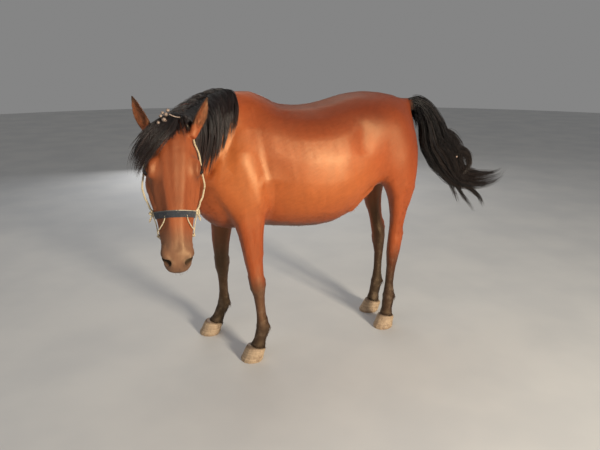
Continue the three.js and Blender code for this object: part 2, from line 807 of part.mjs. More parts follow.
// The halter lies on the head, clear of the skin and of the hair.
function targetOf(body) {
  const mesh = new THREE.Mesh(geometryOf(body), new THREE.MeshBasicMaterial({ side: THREE.DoubleSide }));
  mesh.updateMatrixWorld(true);
  return mesh;
}
const skull = targetOf(head);
const nape = targetOf(head.add(neck));
const SIDES = [['left', 1], ['right', -1]];

const knots = SIDES.map(([, side]) => clearOf(knotSolid(skull, CHEEK_KNOT, side, KNOT.cheek), head));
const noseband = clearOf(strapSolid(skull), head, ...knots);
const crownRoute = routeAcross(nape, CROWN_ROPE, CROWN_MIDDLE, ROPE);
const crown = clearOf(cordSolid(crownRoute, ROPE, 28), head, neck, ...ears, ...eyes, noseband, ...knots);
const mouthRoute = routeAcross(skull, MOUTH_CORD, MOUTH_MIDDLE, CORD);
const mouthCord = SIDES.reduce(
  (cord, [, side]) => cord
    .add(knotSolid(skull, MOUTH_CORNER, side, KNOT.mouth))
    .add(cordSolid(routeOn(skull, SIDE_CORD, side, CORD), CORD, 4)),
  cordSolid(mouthRoute, CORD, 18),
);

add('halter_noseband', noseband, webbing);
add('halter_crown_rope', crown, rope);
add('halter_mouth_cord', clearOf(mouthCord, head, noseband, crown, ...knots), rope);
SIDES.forEach(([label], i) => add(`halter_knot_${label}`, knots[i], rope));

const forelock = clearOf(forelockSolid(), head, ...ears, ...eyes, crown);
add('forelock', forelock, hair);
add('mane', clearOf(maneSolid(), flesh, head, ...ears, crown), hair);

const box = new THREE.Box3().setFromObject(horse);
const centre = box.getCenter(new THREE.Vector3());
horse.position.set(-centre.x, -centre.y, 0);
horse.updateMatrixWorld(true);

export default horse;
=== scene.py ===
# %% [markdown]
# # A bay horse, standing
# A life-size horse stands on four hooves, bends its neck to its left and looks at us, in a simple halter.
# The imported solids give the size, the pose and the place of every part. This lesson lays one smooth skin over
# the flesh, gives it lids, lips, nostrils, muscles and a short coat, and then adds hooves, eyes, mane,
# forelock, tail and halter. Everything is in metres, in the frame of the solids: the horse faces -X, its
# left side is towards -Y, and the hooves stand on z = 0.

# %% Load the solids
import json
import math

import bmesh
import bpy
import numpy as np
from mathutils import Matrix, Vector
from mathutils.bvhtree import BVHTree

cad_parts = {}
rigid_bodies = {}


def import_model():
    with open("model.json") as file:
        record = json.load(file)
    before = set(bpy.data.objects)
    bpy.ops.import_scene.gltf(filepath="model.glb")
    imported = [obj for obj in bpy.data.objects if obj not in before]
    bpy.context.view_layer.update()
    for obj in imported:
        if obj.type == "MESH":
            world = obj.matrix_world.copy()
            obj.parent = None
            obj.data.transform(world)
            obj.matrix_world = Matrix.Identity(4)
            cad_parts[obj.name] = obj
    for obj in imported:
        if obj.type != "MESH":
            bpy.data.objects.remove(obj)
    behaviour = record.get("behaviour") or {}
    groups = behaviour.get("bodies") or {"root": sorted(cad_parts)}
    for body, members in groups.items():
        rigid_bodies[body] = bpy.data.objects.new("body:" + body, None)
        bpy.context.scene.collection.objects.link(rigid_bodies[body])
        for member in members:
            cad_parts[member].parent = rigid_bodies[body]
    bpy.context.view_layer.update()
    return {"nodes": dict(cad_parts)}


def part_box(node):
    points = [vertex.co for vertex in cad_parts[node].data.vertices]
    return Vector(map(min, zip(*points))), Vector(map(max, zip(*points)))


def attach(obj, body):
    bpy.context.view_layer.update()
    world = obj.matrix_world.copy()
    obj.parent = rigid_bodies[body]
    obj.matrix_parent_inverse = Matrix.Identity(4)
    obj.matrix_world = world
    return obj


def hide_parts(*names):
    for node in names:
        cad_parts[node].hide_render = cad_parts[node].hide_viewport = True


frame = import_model()

# %% [markdown]
# Two frames of reference make the rest easy to write down. In the body's frame the trunk runs along X and is
# level. The head hangs turned and tipped, so places on it are given in its own frame: x down the face from the
# poll, y to the horse's left, z straight out of the forehead, in millimetres. One eye tells where the body's
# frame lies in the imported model.

# %% The head's own frame
MM = 0.001
POLL = Vector((-839, -597, 1360)) * MM
HEAD_TURN, HEAD_NOD, HEAD_LEAN = math.radians(79.5), math.radians(32.4), math.radians(-3.8)
EYE = (203, 93, -40)  # centre of the left eye, in the head's frame
EYE_RADIUS = 21

heading = Vector((-math.cos(HEAD_TURN), -math.sin(HEAD_TURN), 0))
down_face = heading * math.sin(HEAD_NOD) - Vector((0, 0, math.cos(HEAD_NOD)))
to_left = Matrix.Rotation(HEAD_LEAN, 3, down_face) @ Vector((0, 0, 1)).cross(heading)
head_axes = Matrix((down_face, to_left, down_face.cross(to_left))).transposed()
eye_low, eye_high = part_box("eye_left")
ORIGIN = (eye_low + eye_high) / 2 - POLL - head_axes @ (Vector(EYE) * MM)
ORIGIN.z = 0


def face(x, y, z):
    """A place in the head's frame, in millimetres, as a place in the model."""
    return ORIGIN + POLL + head_axes @ (Vector((x, y, z)) * MM)


def body(x, y, z):
    """A place in the body's frame, in millimetres, as a place in the model."""
    return ORIGIN + Vector((x, y, z)) * MM


def in_head(co):
    """Places in the model, as an array, in the head's frame in millimetres."""
    return (co - np.array(ORIGIN + POLL)) @ np.array(head_axes) / MM


def in_body(co):
    return (co - np.array(ORIGIN)) / MM


print("origin of the body's frame:", ORIGIN)

# %% [markdown]
# The camera stands at the height of a person's eyes, in front of the horse and to its left. A lens a little
# longer than a wide one keeps the head, which is nearest, from swelling.

# %% Camera
CAMERA_AT = body(-1219.5, -2889.1, 1600)
CAMERA_LOOKS = Vector((0.3592, 0.8884, -0.2858))
camera = bpy.data.objects.new("camera", bpy.data.cameras.new("camera"))
camera.data.lens = 34.2
camera.data.sensor_width = 36
camera.location = CAMERA_AT
camera.rotation_euler = CAMERA_LOOKS.to_track_quat("-Z", "Y").to_euler()
bpy.context.scene.collection.objects.link(camera)
bpy.context.scene.camera = camera
bpy.context.scene.view_settings.view_transform = "Standard"
print("camera at", tuple(round(v, 3) for v in CAMERA_AT))

# %% [markdown]
# Lights could be a sky, a sun or soft panels. Large panels, as in a portrait studio, draw muscles without
# hard shadows: a low, warm key on the horse's left flank, a weaker fill from the left of the view, and two
# from above and behind that draw the outline. A grid before the key keeps the floor at its foot from glaring.

# %% Light
WORLD_GREY, WORLD_STRENGTH = 0.9, 0.26


def softbox(name, at, aim, size, power, color=(1, 1, 1)):
    lamp = bpy.data.lights.new(name, "AREA")
    lamp.shape = "RECTANGLE"
    lamp.size, lamp.size_y = size
    lamp.energy = power
    lamp.color = color
    box = bpy.data.objects.new(name, lamp)
    box.location = at
    box.rotation_euler = (Vector(aim) - Vector(at)).to_track_quat("-Z", "Y").to_euler()
    bpy.context.scene.collection.objects.link(box)
    return box


key = softbox("key", (1.3, -5.4, 2.4), (-0.1, 0.1, 0.9), (1.0, 1.0), 158, (1, 0.89, 0.72))
key.data.spread = math.radians(110)
softbox("fill", (-5.2, -2.2, 2.2), (-0.4, 0.0, 0.8), (3.2, 2.6), 34, (0.96, 0.97, 1))
softbox("top", (0.4, 2.6, 4.6), (0.0, 0.2, 0.9), (3.4, 2.2), 30, (1, 0.96, 0.9))
softbox("back", (0.8, 5.6, 1.4), (0.0, 0.2, 0.8), (3.0, 2.0), 60)
world = bpy.data.worlds.new("studio")
bpy.context.scene.world = world
world.use_nodes = True
backdrop = world.node_tree.nodes["Background"].inputs
backdrop["Color"].default_value = (WORLD_GREY, WORLD_GREY, WORLD_GREY, 1)
backdrop["Strength"].default_value = WORLD_STRENGTH
print("lights:", len(bpy.data.lights))

# %% [markdown]
# The floor is plain and pale, a wide disc, so that it fills every view. Two helpers turn a bmesh into a mesh
# and a mesh into an object of the scene, and serve every later piece.

# %% Floor
FLOOR_RADIUS = 16


def mesh_from(bm, name):
    mesh = bpy.data.meshes.new(name)
    bm.to_mesh(mesh)
    bm.free()
    return mesh


def add_object(name, mesh):
    thing = bpy.data.objects.new(name, mesh)
    bpy.context.scene.collection.objects.link(thing)
    return thing


bm = bmesh.new()
bmesh.ops.create_circle(bm, cap_ends=True, segments=96, radius=FLOOR_RADIUS)
floor = add_object("floor", mesh_from(bm, "floor"))
print("floor:", 2 * FLOOR_RADIUS, "m across")

# %% [markdown]
# ## Shader maths
# Every finish is a sum of masks and noises. Writing those as Python expressions keeps them readable, so one
# small class wraps a socket: its sums, differences and products add Math nodes. Any other node comes from one
# method. A last helper dresses a finished piece: its material, and the solids that it replaces.

# %% A socket that can be calculated with


class Sock:
    """A shader value or colour. Expressions on it add Math nodes to its material."""

    def __init__(self, tree, out):
        self.tree, self.out = tree, out

    def node(self, kind, settings=None, output=0, **inputs):
        """Any node: its settings first, then values or links for its sockets by name (_ for a space)."""
        made = self.tree.nodes.new(kind)
        for key, value in (settings or {}).items():
            setattr(made, key, value)
        for key, value in inputs.items():
            name = key.replace("_", " ")
            socket = made.inputs[int(key[1:])] if key[0] == "i" and key[1:].isdigit() else made.inputs[name]
            if isinstance(value, Sock):
                self.tree.links.new(value.out, socket)
            else:
                socket.default_value = value
        return Sock(self.tree, made.outputs[output])

    def math(self, operation, *values):
        return self.node("ShaderNodeMath", {"operation": operation}, **{f"i{i}": v for i, v in enumerate(values)})

    def __add__(self, other): return self.math("ADD", self, other)
    def __radd__(self, other): return self.math("ADD", other, self)
    def __sub__(self, other): return self.math("SUBTRACT", self, other)
    def __rsub__(self, other): return self.math("SUBTRACT", other, self)
    def __mul__(self, other): return self.math("MULTIPLY", self, other)
    def __rmul__(self, other): return self.math("MULTIPLY", other, self)

    def ramp(self, low, high, start=0.0, end=1.0):
        """Rises smoothly from start to end as the value goes from low to high."""
        settings = {"interpolation_type": "SMOOTHSTEP"}
        return self.node("ShaderNodeMapRange", settings, i0=self, i1=low, i2=high, i3=start, i4=end)

    def tint(self, first, second):
        """A mix of two colours, this value being the share of the second."""
        return self.node("ShaderNodeMix", {"data_type": "RGBA"}, 2, i0=self, i6=rgba(first), i7=rgba(second))

    def rgb(self, red, green, blue):
        return self.node("ShaderNodeCombineColor", None, 0, Red=red, Green=green, Blue=blue)

    def times(self, light):
        """A colour multiplied by another."""
        settings = {"data_type": "RGBA", "blend_type": "MULTIPLY"}
        return self.node("ShaderNodeMix", settings, 2, i0=1.0, i6=self, i7=light)

    def noise(self, scale, detail=2.0, roughness=0.5):
        return self.node("ShaderNodeTexNoise", i0=self, i2=scale, i3=detail, i4=roughness)

    def stretched(self, x, y, z):
        return self.node("ShaderNodeVectorMath", {"operation": "MULTIPLY"}, i0=self, i1=(x, y, z))

    def xyz(self):
        return [self.node("ShaderNodeSeparateXYZ", None, i, i0=self) for i in range(3)]


def rgba(color):
    return color if isinstance(color, Sock) else (*color, 1)


def finish(name, **shader):
    """A new material: fixed numbers for its shader's sockets. Returns the material, a maker of nodes, and a
    function that links calculated sockets."""
    material = bpy.data.materials.new(name)
    material.use_nodes = True
    tree = material.node_tree
    bsdf = tree.nodes["Principled BSDF"]
    for key, value in shader.items():
        bsdf.inputs[key.replace("_", " ")].default_value = value

    def link(**sockets):
        for key, sock in sockets.items():
            tree.links.new(sock.out, bsdf.inputs[key.replace("_", " ")])

    return material, Sock(tree, None), link


def place_of(make):
    """The place in the model, which is the place in the object: no piece is moved or turned."""
    return make.node("ShaderNodeTexCoord", None, 3)


def painted(make, name, output=2):
    """A value painted on the mesh's points, or with output 0 a colour."""
    return make.node("ShaderNodeAttribute", {"attribute_name": name}, output)


def bump(make, height, distance, strength=1.0):
    return make.node("ShaderNodeBump", None, 0, Strength=strength, Distance=distance, Height=height)


def dress(thing, material, slot, *replaced):
    """Gives a finished piece its material, hangs it on the root body and hides the solids that it stands for. The
    slot is not used.
    """
    thing.data.materials.clear()
    thing.data.materials.append(material)
    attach(thing, "root")
    if replaced:
        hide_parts(*replaced)
    print(thing.name, len(thing.data.loops) - 2 * len(thing.data.polygons), "triangles")
    return thing


floor_finish, make, link = finish("studio_floor", Roughness=0.85)
speckle = place_of(make).noise(1.7, 3)
link(Base_Color=speckle.ramp(0.3, 0.7).tint((0.58, 0.585, 0.59), (0.64, 0.64, 0.635)))
floor.data.materials.append(floor_finish)

# %% [markdown]
# ## Meshes as arrays
# A skin of a hundred thousand points is shaped quickest as one array of places. These helpers read and write
# it, and run a modifier at once: a voxel remesh, or a smoothing that a weight for each point holds back.

# %% Helpers for meshes as arrays


def get_co(mesh):
    co = np.empty(len(mesh.vertices) * 3)
    mesh.vertices.foreach_get("co", co)
    return co.reshape(-1, 3)


def set_co(mesh, co):
    mesh.vertices.foreach_set("co", co.ravel())
    mesh.update()


def get_normals(mesh):
    out = np.empty(len(mesh.vertices) * 3)
    mesh.vertex_normals.foreach_get("vector", out)
    return out.reshape(-1, 3)


def joined(name, sources, grow):
    """One mesh from merged copies of other meshes, each moved outwards by grow."""
    bm = bmesh.new()
    for source in sources:
        part = bmesh.new()
        part.from_mesh(source)
        bmesh.ops.remove_doubles(part, verts=part.verts, dist=1e-5)
        part.normal_update()
        for vert in part.verts:
            vert.co += vert.normal * grow
        copy = mesh_from(part, "copy")
        bm.from_mesh(copy)
        bpy.data.meshes.remove(copy)
    return mesh_from(bm, name)


def with_modifiers(thing, *modifiers, weights=None):
    """The mesh of an object after modifiers, each given as its type and its settings."""
    if weights is not None:
        thing.vertex_groups.clear()  # a mesh made by modifiers still carries its old group
        group = thing.vertex_groups.new(name="weights")
        for level in range(1, 11):
            chosen = np.flatnonzero(np.ceil(weights * 10 - 0.5) == level)
            group.add(chosen.tolist(), level / 10, "REPLACE")
    for kind, settings in modifiers:
        modifier = thing.modifiers.new(kind, kind)
        for key, value in settings.items():
            setattr(modifier, key, value)
    bpy.context.view_layer.update()
    result = bpy.data.meshes.new_from_object(thing.evaluated_get(bpy.context.evaluated_depsgraph_get()))
    thing.modifiers.clear()
    thing.vertex_groups.clear()
    return result


def swap_mesh(thing, mesh):
    old = thing.data
    thing.data = mesh
    bpy.data.meshes.remove(old)


def remesh(thing, voxel):
    swap_mesh(thing, with_modifiers(thing, ("REMESH", {"mode": "VOXEL", "voxel_size": voxel})))


def smoothed(thing, rounds, weights):
    settings = {"iterations": rounds, "factor": 0.5, "vertex_group": "weights"}
    return with_modifiers(thing, ("SMOOTH", settings), weights=weights)


def relax(thing, rounds, weights):
    """Smooths without shrinking: twice the once-smoothed shape less the twice-smoothed one."""
    once = smoothed(thing, rounds, weights)
    first = get_co(once)
    swap_mesh(thing, once)
    twice = smoothed(thing, rounds, weights)
    set_co(thing.data, 2 * first - get_co(twice))
    bpy.data.meshes.remove(twice)


def smooth_step(value, low, high):
    t = np.clip((value - low) / (high - low), 0, 1)
    return t * t * (3 - 2 * t)


print("the trunk's points as an array:", get_co(frame["nodes"]["trunk"].data).shape)

# %% [markdown]
# ## The skin
# The flesh came as a dozen solids with thin cuts between them, and flat facets. One skin has to cover them
# with no seam. Copies of the solids are merged, fattened by half a millimetre so that the cuts close, and
# joined by a voxel remesh, which keeps only the outside. That is done in two steps, because trunk and legs
# want long, strong smoothing and the head wants fine detail: first the body, then body and head together.

# %% The body
LEGS = ("fore_left", "fore_right", "hind_left", "hind_right")
GROW = 0.0006
BODY_VOXEL = 0.007
SKIN_VOXEL = 0.004

nodes = frame["nodes"]
body_nodes = ["trunk", "neck", "tail"] + [f"{leg}_{part}" for leg in LEGS for part in ("upper", "lower")]
head_nodes = ["head", "ear_left", "ear_right"]
skin = add_object("skin", joined("skin", [nodes[n].data for n in body_nodes], GROW))
remesh(skin, BODY_VOXEL)
place = in_body(get_co(skin.data))
soft = smooth_step(place[:, 2], 560, 900) * (1 - 0.8 * smooth_step(place[:, 0], 610, 660))
relax(skin, 110, 0.06 + 0.94 * soft)
print("body:", len(skin.data.vertices), "points")

# %% [markdown]
# A horse's ear is a leaf rolled into a scoop, open to the front and the side. A remesh would tear such a thin
# shell. So it starts as a thick flat leaf, which is easy to join to the head, and is bent into a scoop at the
# end. The leaf is a ball, squeezed row by row along the line from the root of the ear to its tip.

# %% Ears as thick leaves
EAR_ROOT, EAR_TIP, EAR_OPENS = (46, 88, -14), (-100, 151, -6), (0, 0.72, 0.70)  # left ear, in the head's frame
EAR_ROWS = np.array([  # part of its length, half width, half thickness, depth of the scoop
    (-0.20, 18, 15, 0), (0.00, 22, 19, 0), (0.12, 26, 15, 3), (0.25, 30, 11, 12), (0.42, 30.5, 8.5, 18),
    (0.60, 25.5, 7.5, 17), (0.76, 18, 7, 12), (0.90, 8.5, 6, 5), (0.97, 4.5, 4.5, 2), (1.0, 1, 1, 0),
])  # fmt: skip

ear_root = np.array(EAR_ROOT, float)
ear_length = float(np.linalg.norm(np.array(EAR_TIP) - ear_root))
ear_along = (np.array(EAR_TIP) - ear_root) / ear_length
ear_opens = np.array(EAR_OPENS) - ear_along * (ear_along @ np.array(EAR_OPENS))
ear_opens /= np.linalg.norm(ear_opens)
ear_axes = np.stack([ear_along, np.cross(ear_along, ear_opens), ear_opens])


def ear_row(part, column):
    return np.interp(part, EAR_ROWS[:, 0], EAR_ROWS[:, column])


def from_head(local):
    """Places in the head's frame, as an array in millimetres, in the model."""
    return np.array(ORIGIN + POLL) + local * MM @ np.array(head_axes).T


def ear_leaf(side):
    bm = bmesh.new()
    bmesh.ops.create_uvsphere(bm, u_segments=32, v_segments=40, radius=1)
    mesh = mesh_from(bm, "ear")
    unit = get_co(mesh)
    part = 0.4 - 0.6 * unit[:, 2]
    ring = np.maximum(np.linalg.norm(unit[:, :2], axis=1), 1e-6)
    across = unit[:, 0] / ring * ear_row(part, 1) * (ring > 1e-5)
    out = unit[:, 1] / ring * ear_row(part, 2) * (ring > 1e-5)
    local = ear_root + np.stack([part * ear_length, across, out], axis=1) @ ear_axes
    set_co(mesh, from_head(local * (1, side, 1)))
    if side < 0:
        mesh.flip_normals()
    return mesh


ears = [ear_leaf(side) for side in (1, -1)]
eyeballs = [nodes["eye_left"].data, nodes["eye_right"].data]  # they close the sockets for now
swap_mesh(skin, joined("skin", [skin.data, nodes["head"].data, *eyeballs, *ears], 0.0002))
remesh(skin, SKIN_VOXEL)
print("body, head and ears:", len(skin.data.vertices), "points")

# %% [markdown]
# The head's facets go the same way as the body's. A mask says how much each place is smoothed: a lot on the
# head and at the throat, less on the legs, whose tendons are thin, and little on the ears.

# %% Smooth the head and the legs
HEAD_MIDLINE = [(0, 0, -50), (200, 0, -90), (400, 0, -85), (600, 0, -85)]


def near_line(co, line, start, end):
    """1 nearer to a bent line than start, 0 beyond end."""
    line = np.asarray(line, float)
    best = np.full(len(co), np.inf)
    for a, b in zip(line[:-1], line[1:]):
        part = np.clip((co - a) @ (b - a) / ((b - a) @ (b - a)), 0, 1)
        best = np.minimum(best, np.linalg.norm(co - a - part[:, None] * (b - a), axis=1))
    return 1 - smooth_step(best, start, end)


def left_of_head(co):
    """Places in the head's frame, with the right half folded onto the left one, and the side of each."""
    local = in_head(co)
    side = np.where(local[:, 1] < 0, -1.0, 1.0)
    local[:, 1] *= side
    return local, side


def unfolded(spots, side):
    """The opposite: from the left half to the wanted side, which may differ from spot to spot."""
    return np.asarray(spots) * np.stack(np.broadcast_arrays(1.0, side, 1.0), axis=-1)


def to_model(local, side):
    return from_head(unfolded(local, side))


def ear_place(local):
    """Part of the ear's length, distance across it and distance towards its opening."""
    spot = (local - ear_root) @ ear_axes.T
    return spot[:, 0] / ear_length, spot[:, 1], spot[:, 2]


def on_ear(local):
    part, across, out = ear_place(local)
    inside = (np.hypot(across, out) < 34 + 6 * smooth_step(part, 0.0, 0.4)) & (part < 1.1)
    return smooth_step(part, 0.02, 0.16) * inside


co = get_co(skin.data)
local, _ = left_of_head(co)
on_head = near_line(local, HEAD_MIDLINE, 165, 240)
on_legs = 1 - smooth_step(in_body(co)[:, 2], 560, 760)
relax(skin, 42, np.maximum(on_head * (1 - 0.7 * on_ear(local)), 0.28 * on_legs))
print("smoothed:", int(np.sum(on_head > 0.5)), "points of the head")

# %% [markdown]
# ## Modelling in strokes
# A sculptor adds muscle with strokes of clay. A stroke here is a bent line with a width and a height: the
# skin near it swells along its own normal, most at the line and not at all at the stroke's edge. A negative
# height makes a groove. Widths and heights are in millimetres, as the lines are.

# %% Strokes of clay


def nearness(co, line, radius):
    """1 on a bent line, smoothly down to 0 at the radius from it."""
    line = np.asarray(line, float)
    near = np.zeros(len(co))
    inside = np.flatnonzero(np.all((co > line.min(0) - radius) & (co < line.max(0) + radius), axis=1))
    if not len(inside):
        return near
    points = co[inside]
    best = np.full(len(inside), np.inf)
    for start, end in zip(line[:-1], line[1:]) if len(line) > 1 else [(line[0], line[0] + 1e-6)]:
        span = end - start
        part = np.clip((points - start) @ span / (span @ span), 0, 1)
        best = np.minimum(best, np.sum((points - start - part[:, None] * span) ** 2, axis=1))
    near[inside] = np.clip(1 - best / radius**2, 0, 1) ** 2
    return near


def snapped(line, local):
    """The line with each of its points on the skin, or near enough: every fourth point is asked."""
    return [local[::4][np.argmin(np.sum((local[::4] - spot) ** 2, axis=1))] for spot in line]


def sculpt(thing, strokes, frame_of, both_sides=True, strength=1.0):
    """Moves the skin along its normals by the sum of the strokes (line, radius, height)."""
    co = get_co(thing.data)
    local = frame_of(co)
    move = np.zeros(len(co))
    for line, radius, height in strokes:
        near = nearness(local, snapped(line, local), radius)
        if both_sides:
            mirrored = np.asarray(line, float) * (1, -1, 1)
            near = np.maximum(near, nearness(local, snapped(mirrored, local), radius))
        move += strength * height * near
    set_co(thing.data, co + get_normals(thing.data) * move[:, None] * MM)
    print(len(strokes), "strokes, up to", round(float(np.abs(move).max()), 1), "mm")


# %% [markdown]
# A horse's trunk shows its anatomy through a short coat: the ridge of the shoulder blade and the hollow
# behind it, the thick muscle above the elbow, the two halves of the breast, the point of the hip, the hollow
# of the flank, the stifle with its fold of skin, and the long grooves down the thigh.

# %% Trunk
TRUNK_STROKES = [
    ([(-455, 75, 1350), (-505, 140, 1230), (-560, 178, 1100), (-592, 172, 1010)], 52, 6),  # blade's ridge
    ([(-520, 118, 1340), (-590, 160, 1170), (-628, 150, 1040)], 34, 4),  # front of the blade
    ([(-350, 140, 1340), (-335, 200, 1190), (-322, 218, 1050)], 60, -7),  # hollow behind it
    ([(-430, 205, 1120), (-395, 210, 1010), (-372, 195, 900)], 88, 11),  # muscle above the elbow
    ([(-628, 125, 1010)], 62, 7),  # point of the shoulder
    ([(-335, 168, 850)], 42, 9),  # elbow
    ([(-655, 62, 960), (-620, 72, 850)], 58, 10),  # breast
    ([(-668, 0, 980), (-650, 0, 880), (-600, 0, 780)], 24, -11),  # groove down the breast
    ([(-285, 90, 712), (-275, 190, 850), (-280, 225, 960)], 42, -6),  # girth
    ([(300, 196, 1292)], 66, 7),  # point of the hip
    ([(232, 228, 1225), (215, 240, 1150)], 82, -11),  # hollow of the flank
    ([(400, 150, 1330), (470, 170, 1250)], 120, 8),  # muscle of the croup
    ([(572, 130, 1300), (548, 185, 1170), (522, 200, 1040), (505, 186, 930)], 30, -5),  # grooves of the thigh
    ([(360, 222, 1200), (415, 232, 1070), (440, 215, 960)], 44, -6),
    ([(335, 208, 945)], 60, 11),  # stifle
    ([(300, 188, 890), (235, 205, 842), (180, 190, 790)], 34, 10),  # fold of the flank
    ([(602, 92, 1235)], 52, 7),  # point of the buttock
    ([(628, 0, 1270), (622, 0, 1130), (590, 0, 980), (540, 0, 900)], 36, -20),  # between the thighs
    ([(-250, 0, 690), (-50, 0, 676), (120, 0, 690)], 46, 4),  # line of the belly
    ([(-330, 0, 1430), (-150, 0, 1352), (80, 0, 1368), (330, 0, 1408), (520, 0, 1380)], 30, 3),  # backbone
]
TRUNK_STROKES += [  # ribs
    ([(x, 190, 1270), (x + 18, 245, 1160), (x + 40, 270, 1020), (x + 62, 240, 880)], 19, 1.2)
    for x in range(-215, 120, 44)
]
sculpt(skin, TRUNK_STROKES, in_body, strength=1.3)

# %% [markdown]
# The neck is bent sharply, so its strokes are placed on its own bent frame: how far from withers to poll,
# how far from crest to throat, and how far out to the side. Its skin creases on the inner side of the bend.

# %% The neck's bent frame
NECK_LINE = [  # crest x, y, z, underline x, y, z, half width
    (-425, 0, 1428, -660, 0, 950, 168),
    (-505, -35, 1430, -714, -48, 998, 152),
    (-582, -98, 1410, -766, -122, 1034, 131),
    (-656, -185, 1381, -812, -215, 1062, 113),
    (-727, -300, 1353, -843, -318, 1090, 100),
    (-785, -415, 1344, -852, -408, 1124, 90),
    (-820, -510, 1342, -843, -478, 1164, 84),
    (-834, -575, 1330, -836, -530, 1192, 66),
]


def on_rows(rows, part):
    """A row between the rows of a table, part running from 0 to 1, smoothly."""
    rows = np.asarray(rows, float)
    at = np.clip(part, 0, 1) * (len(rows) - 1)
    i = min(int(at), len(rows) - 2)
    t = at - i
    before, after = rows[max(i - 1, 0)], rows[min(i + 2, len(rows) - 1)]
    slope_in, slope_out = (rows[i + 1] - before) / 2, (after - rows[i]) / 2
    rise = rows[i + 1] - rows[i]
    bend, twist = 3 * rise - 2 * slope_in - slope_out, slope_in + slope_out - 2 * rise
    return rows[i] + t * (slope_in + t * (bend + t * twist))


def on_neck(part, drop, side):
    """A place on the neck: part 0 at the withers to 1 at the poll, drop 0 at the crest to 1 at the throat,
    side -1 on the left surface to 1 on the right one. In the body's frame."""
    row = on_rows(NECK_LINE, part)
    ahead = on_rows(NECK_LINE, min(part + 0.02, 1)) - on_rows(NECK_LINE, max(part - 0.02, 0))
    crest, under = row[:3], row[3:6]
    along = ahead[:3] + ahead[3:6]
    up = (crest - under) / 2
    out = np.cross(along, up)
    out /= np.linalg.norm(out)
    height = 1 - 2 * drop
    width = max(1 - height * height, 0) ** 0.5 * (1 - 0.12 * height)
    return (crest + under) / 2 + up * height + out * row[6] * width * side


neck_strokes = []
for side in (-1, 1):
    neck_strokes += [
        ([on_neck(p, 0.80 - 0.10 * p, side) for p in (0.12, 0.3, 0.5, 0.7, 0.9)], 24, -8),  # jugular groove
        ([on_neck(p, 0.63 - 0.10 * p, side) for p in (0.1, 0.3, 0.5, 0.7, 0.88)], 34, 5),  # muscle above it
        ([on_neck(p, 0.90, side * 0.9) for p in (0.2, 0.4, 0.6, 0.8)], 26, 3),  # muscle below it
        ([on_neck(p, 0.14, side) for p in (0.12, 0.35, 0.6, 0.85)], 40, 5),  # crest
        ([on_neck(0.99, d, side) for d in (0.12, 0.3, 0.5)], 26, 5),  # wing of the first neck bone
    ]
for fold in range(7):
    part = 0.04 + 0.085 * fold
    line = [on_neck(part + 0.012 * math.sin(3 * d + fold), d, -1) for d in (0.30, 0.45, 0.6, 0.75, 0.86)]
    neck_strokes.append((line, 15 + 3 * (fold % 3), -3.4 - 0.8 * (fold % 2)))
sculpt(skin, neck_strokes, in_body, both_sides=False, strength=1.4)

# %% [markdown]
# The legs below elbow and stifle are bone and tendon under thin skin. Each has its own bent line, so strokes
# are placed by height, by how far they lie in front of the line, and by how far to the outer side.

# %% Legs
LEG_LINES = {  # height, x, distance from the middle plane
    "fore_left": (-1, [(985, -405, 136), (835, -402, 152), (720, -396, 166), (560, -385, 181), (430, -371, 191),
                       (255, -357, 195), (178, -350, 196), (112, -368, 196), (60, -390, 196), (0, -404, 196)]),
    "fore_right": (1, [(985, -425, 136), (835, -443, 152), (720, -458, 165), (560, -469, 179), (430, -466, 189),
                       (255, -464, 194), (178, -466, 196), (112, -496, 196), (60, -528, 196), (0, -548, 196)]),
    "hind_left": (-1, [(1060, 460, 144), (930, 494, 148), (830, 506, 144), (710, 508, 135), (600, 502, 127),
                       (520, 499, 122), (390, 489, 120), (280, 480, 119), (200, 480, 118), (118, 472, 118),
                       (60, 464, 118), (0, 456, 118)]),
    "hind_right": (1, [(1060, 460, 144), (930, 482, 148), (830, 488, 144), (710, 497, 135), (600, 518, 127),
                       (520, 532, 122), (390, 539, 120), (280, 534, 119), (200, 530, 118), (118, 518, 118),
                       (60, 508, 118), (0, 500, 118)]),
}  # fmt: skip


def on_leg(leg, height, ahead, outside):
    side, line = LEG_LINES[leg]
    heights, xs, ys = np.array(line[::-1], float).T
    x, y = np.interp(height, heights, xs), np.interp(height, heights, ys)
    return x - ahead, side * (y + outside), height


def both_faces(line, radius, height):
    """A stroke on the outer side of a leg and its twin on the inner side."""
    return [([(z, ahead, side * outside) for z, ahead, outside in line], radius, height) for side in (1, -1)]


FORE_STROKES = [  # (height, ahead, outside) ..., radius, height of the stroke
    ([(800, 50, 50), (700, 44, 46), (590, 38, 34)], 42, 6),  # muscle that straightens the knee
    ([(790, -50, 50), (690, -42, 40), (600, -34, 26)], 38, 5),  # muscles that bend it
    ([(740, 2, 70), (660, 2, 60), (580, 2, 50), (500, 2, 42)], 14, -3),  # groove between them
    ([(800, 30, -60), (700, 28, -54), (600, 22, -42)], 34, 4),
    ([(474, 36, 22), (432, 38, 26), (398, 34, 24)], 17, 4),  # edges of the knee
    ([(474, 36, -22), (432, 38, -28), (398, 34, -24)], 17, 4),
    ([(456, -42, 8), (430, -44, 8)], 24, 6),  # bone behind the knee
    *both_faces([(350, -6, 27), (290, -6, 25), (230, -8, 25)], 9, -4.5),  # between cannon bone and tendons
    ([(350, -30, 0), (280, -28, 0), (225, -32, 0)], 10, 3),  # tendons
    *both_faces([(186, -28, 18)], 24, 3.5), *both_faces([(182, 28, 16)], 18, 2.5),  # sesamoid bones
    ([(128, -22, 0), (104, -26, 0)], 16, -4),  # hollow of the pastern
    *both_faces([(66, -34, 20)], 20, 4), ([(64, -44, 0)], 12, -5),  # bulbs of the heel
]  # fmt: skip
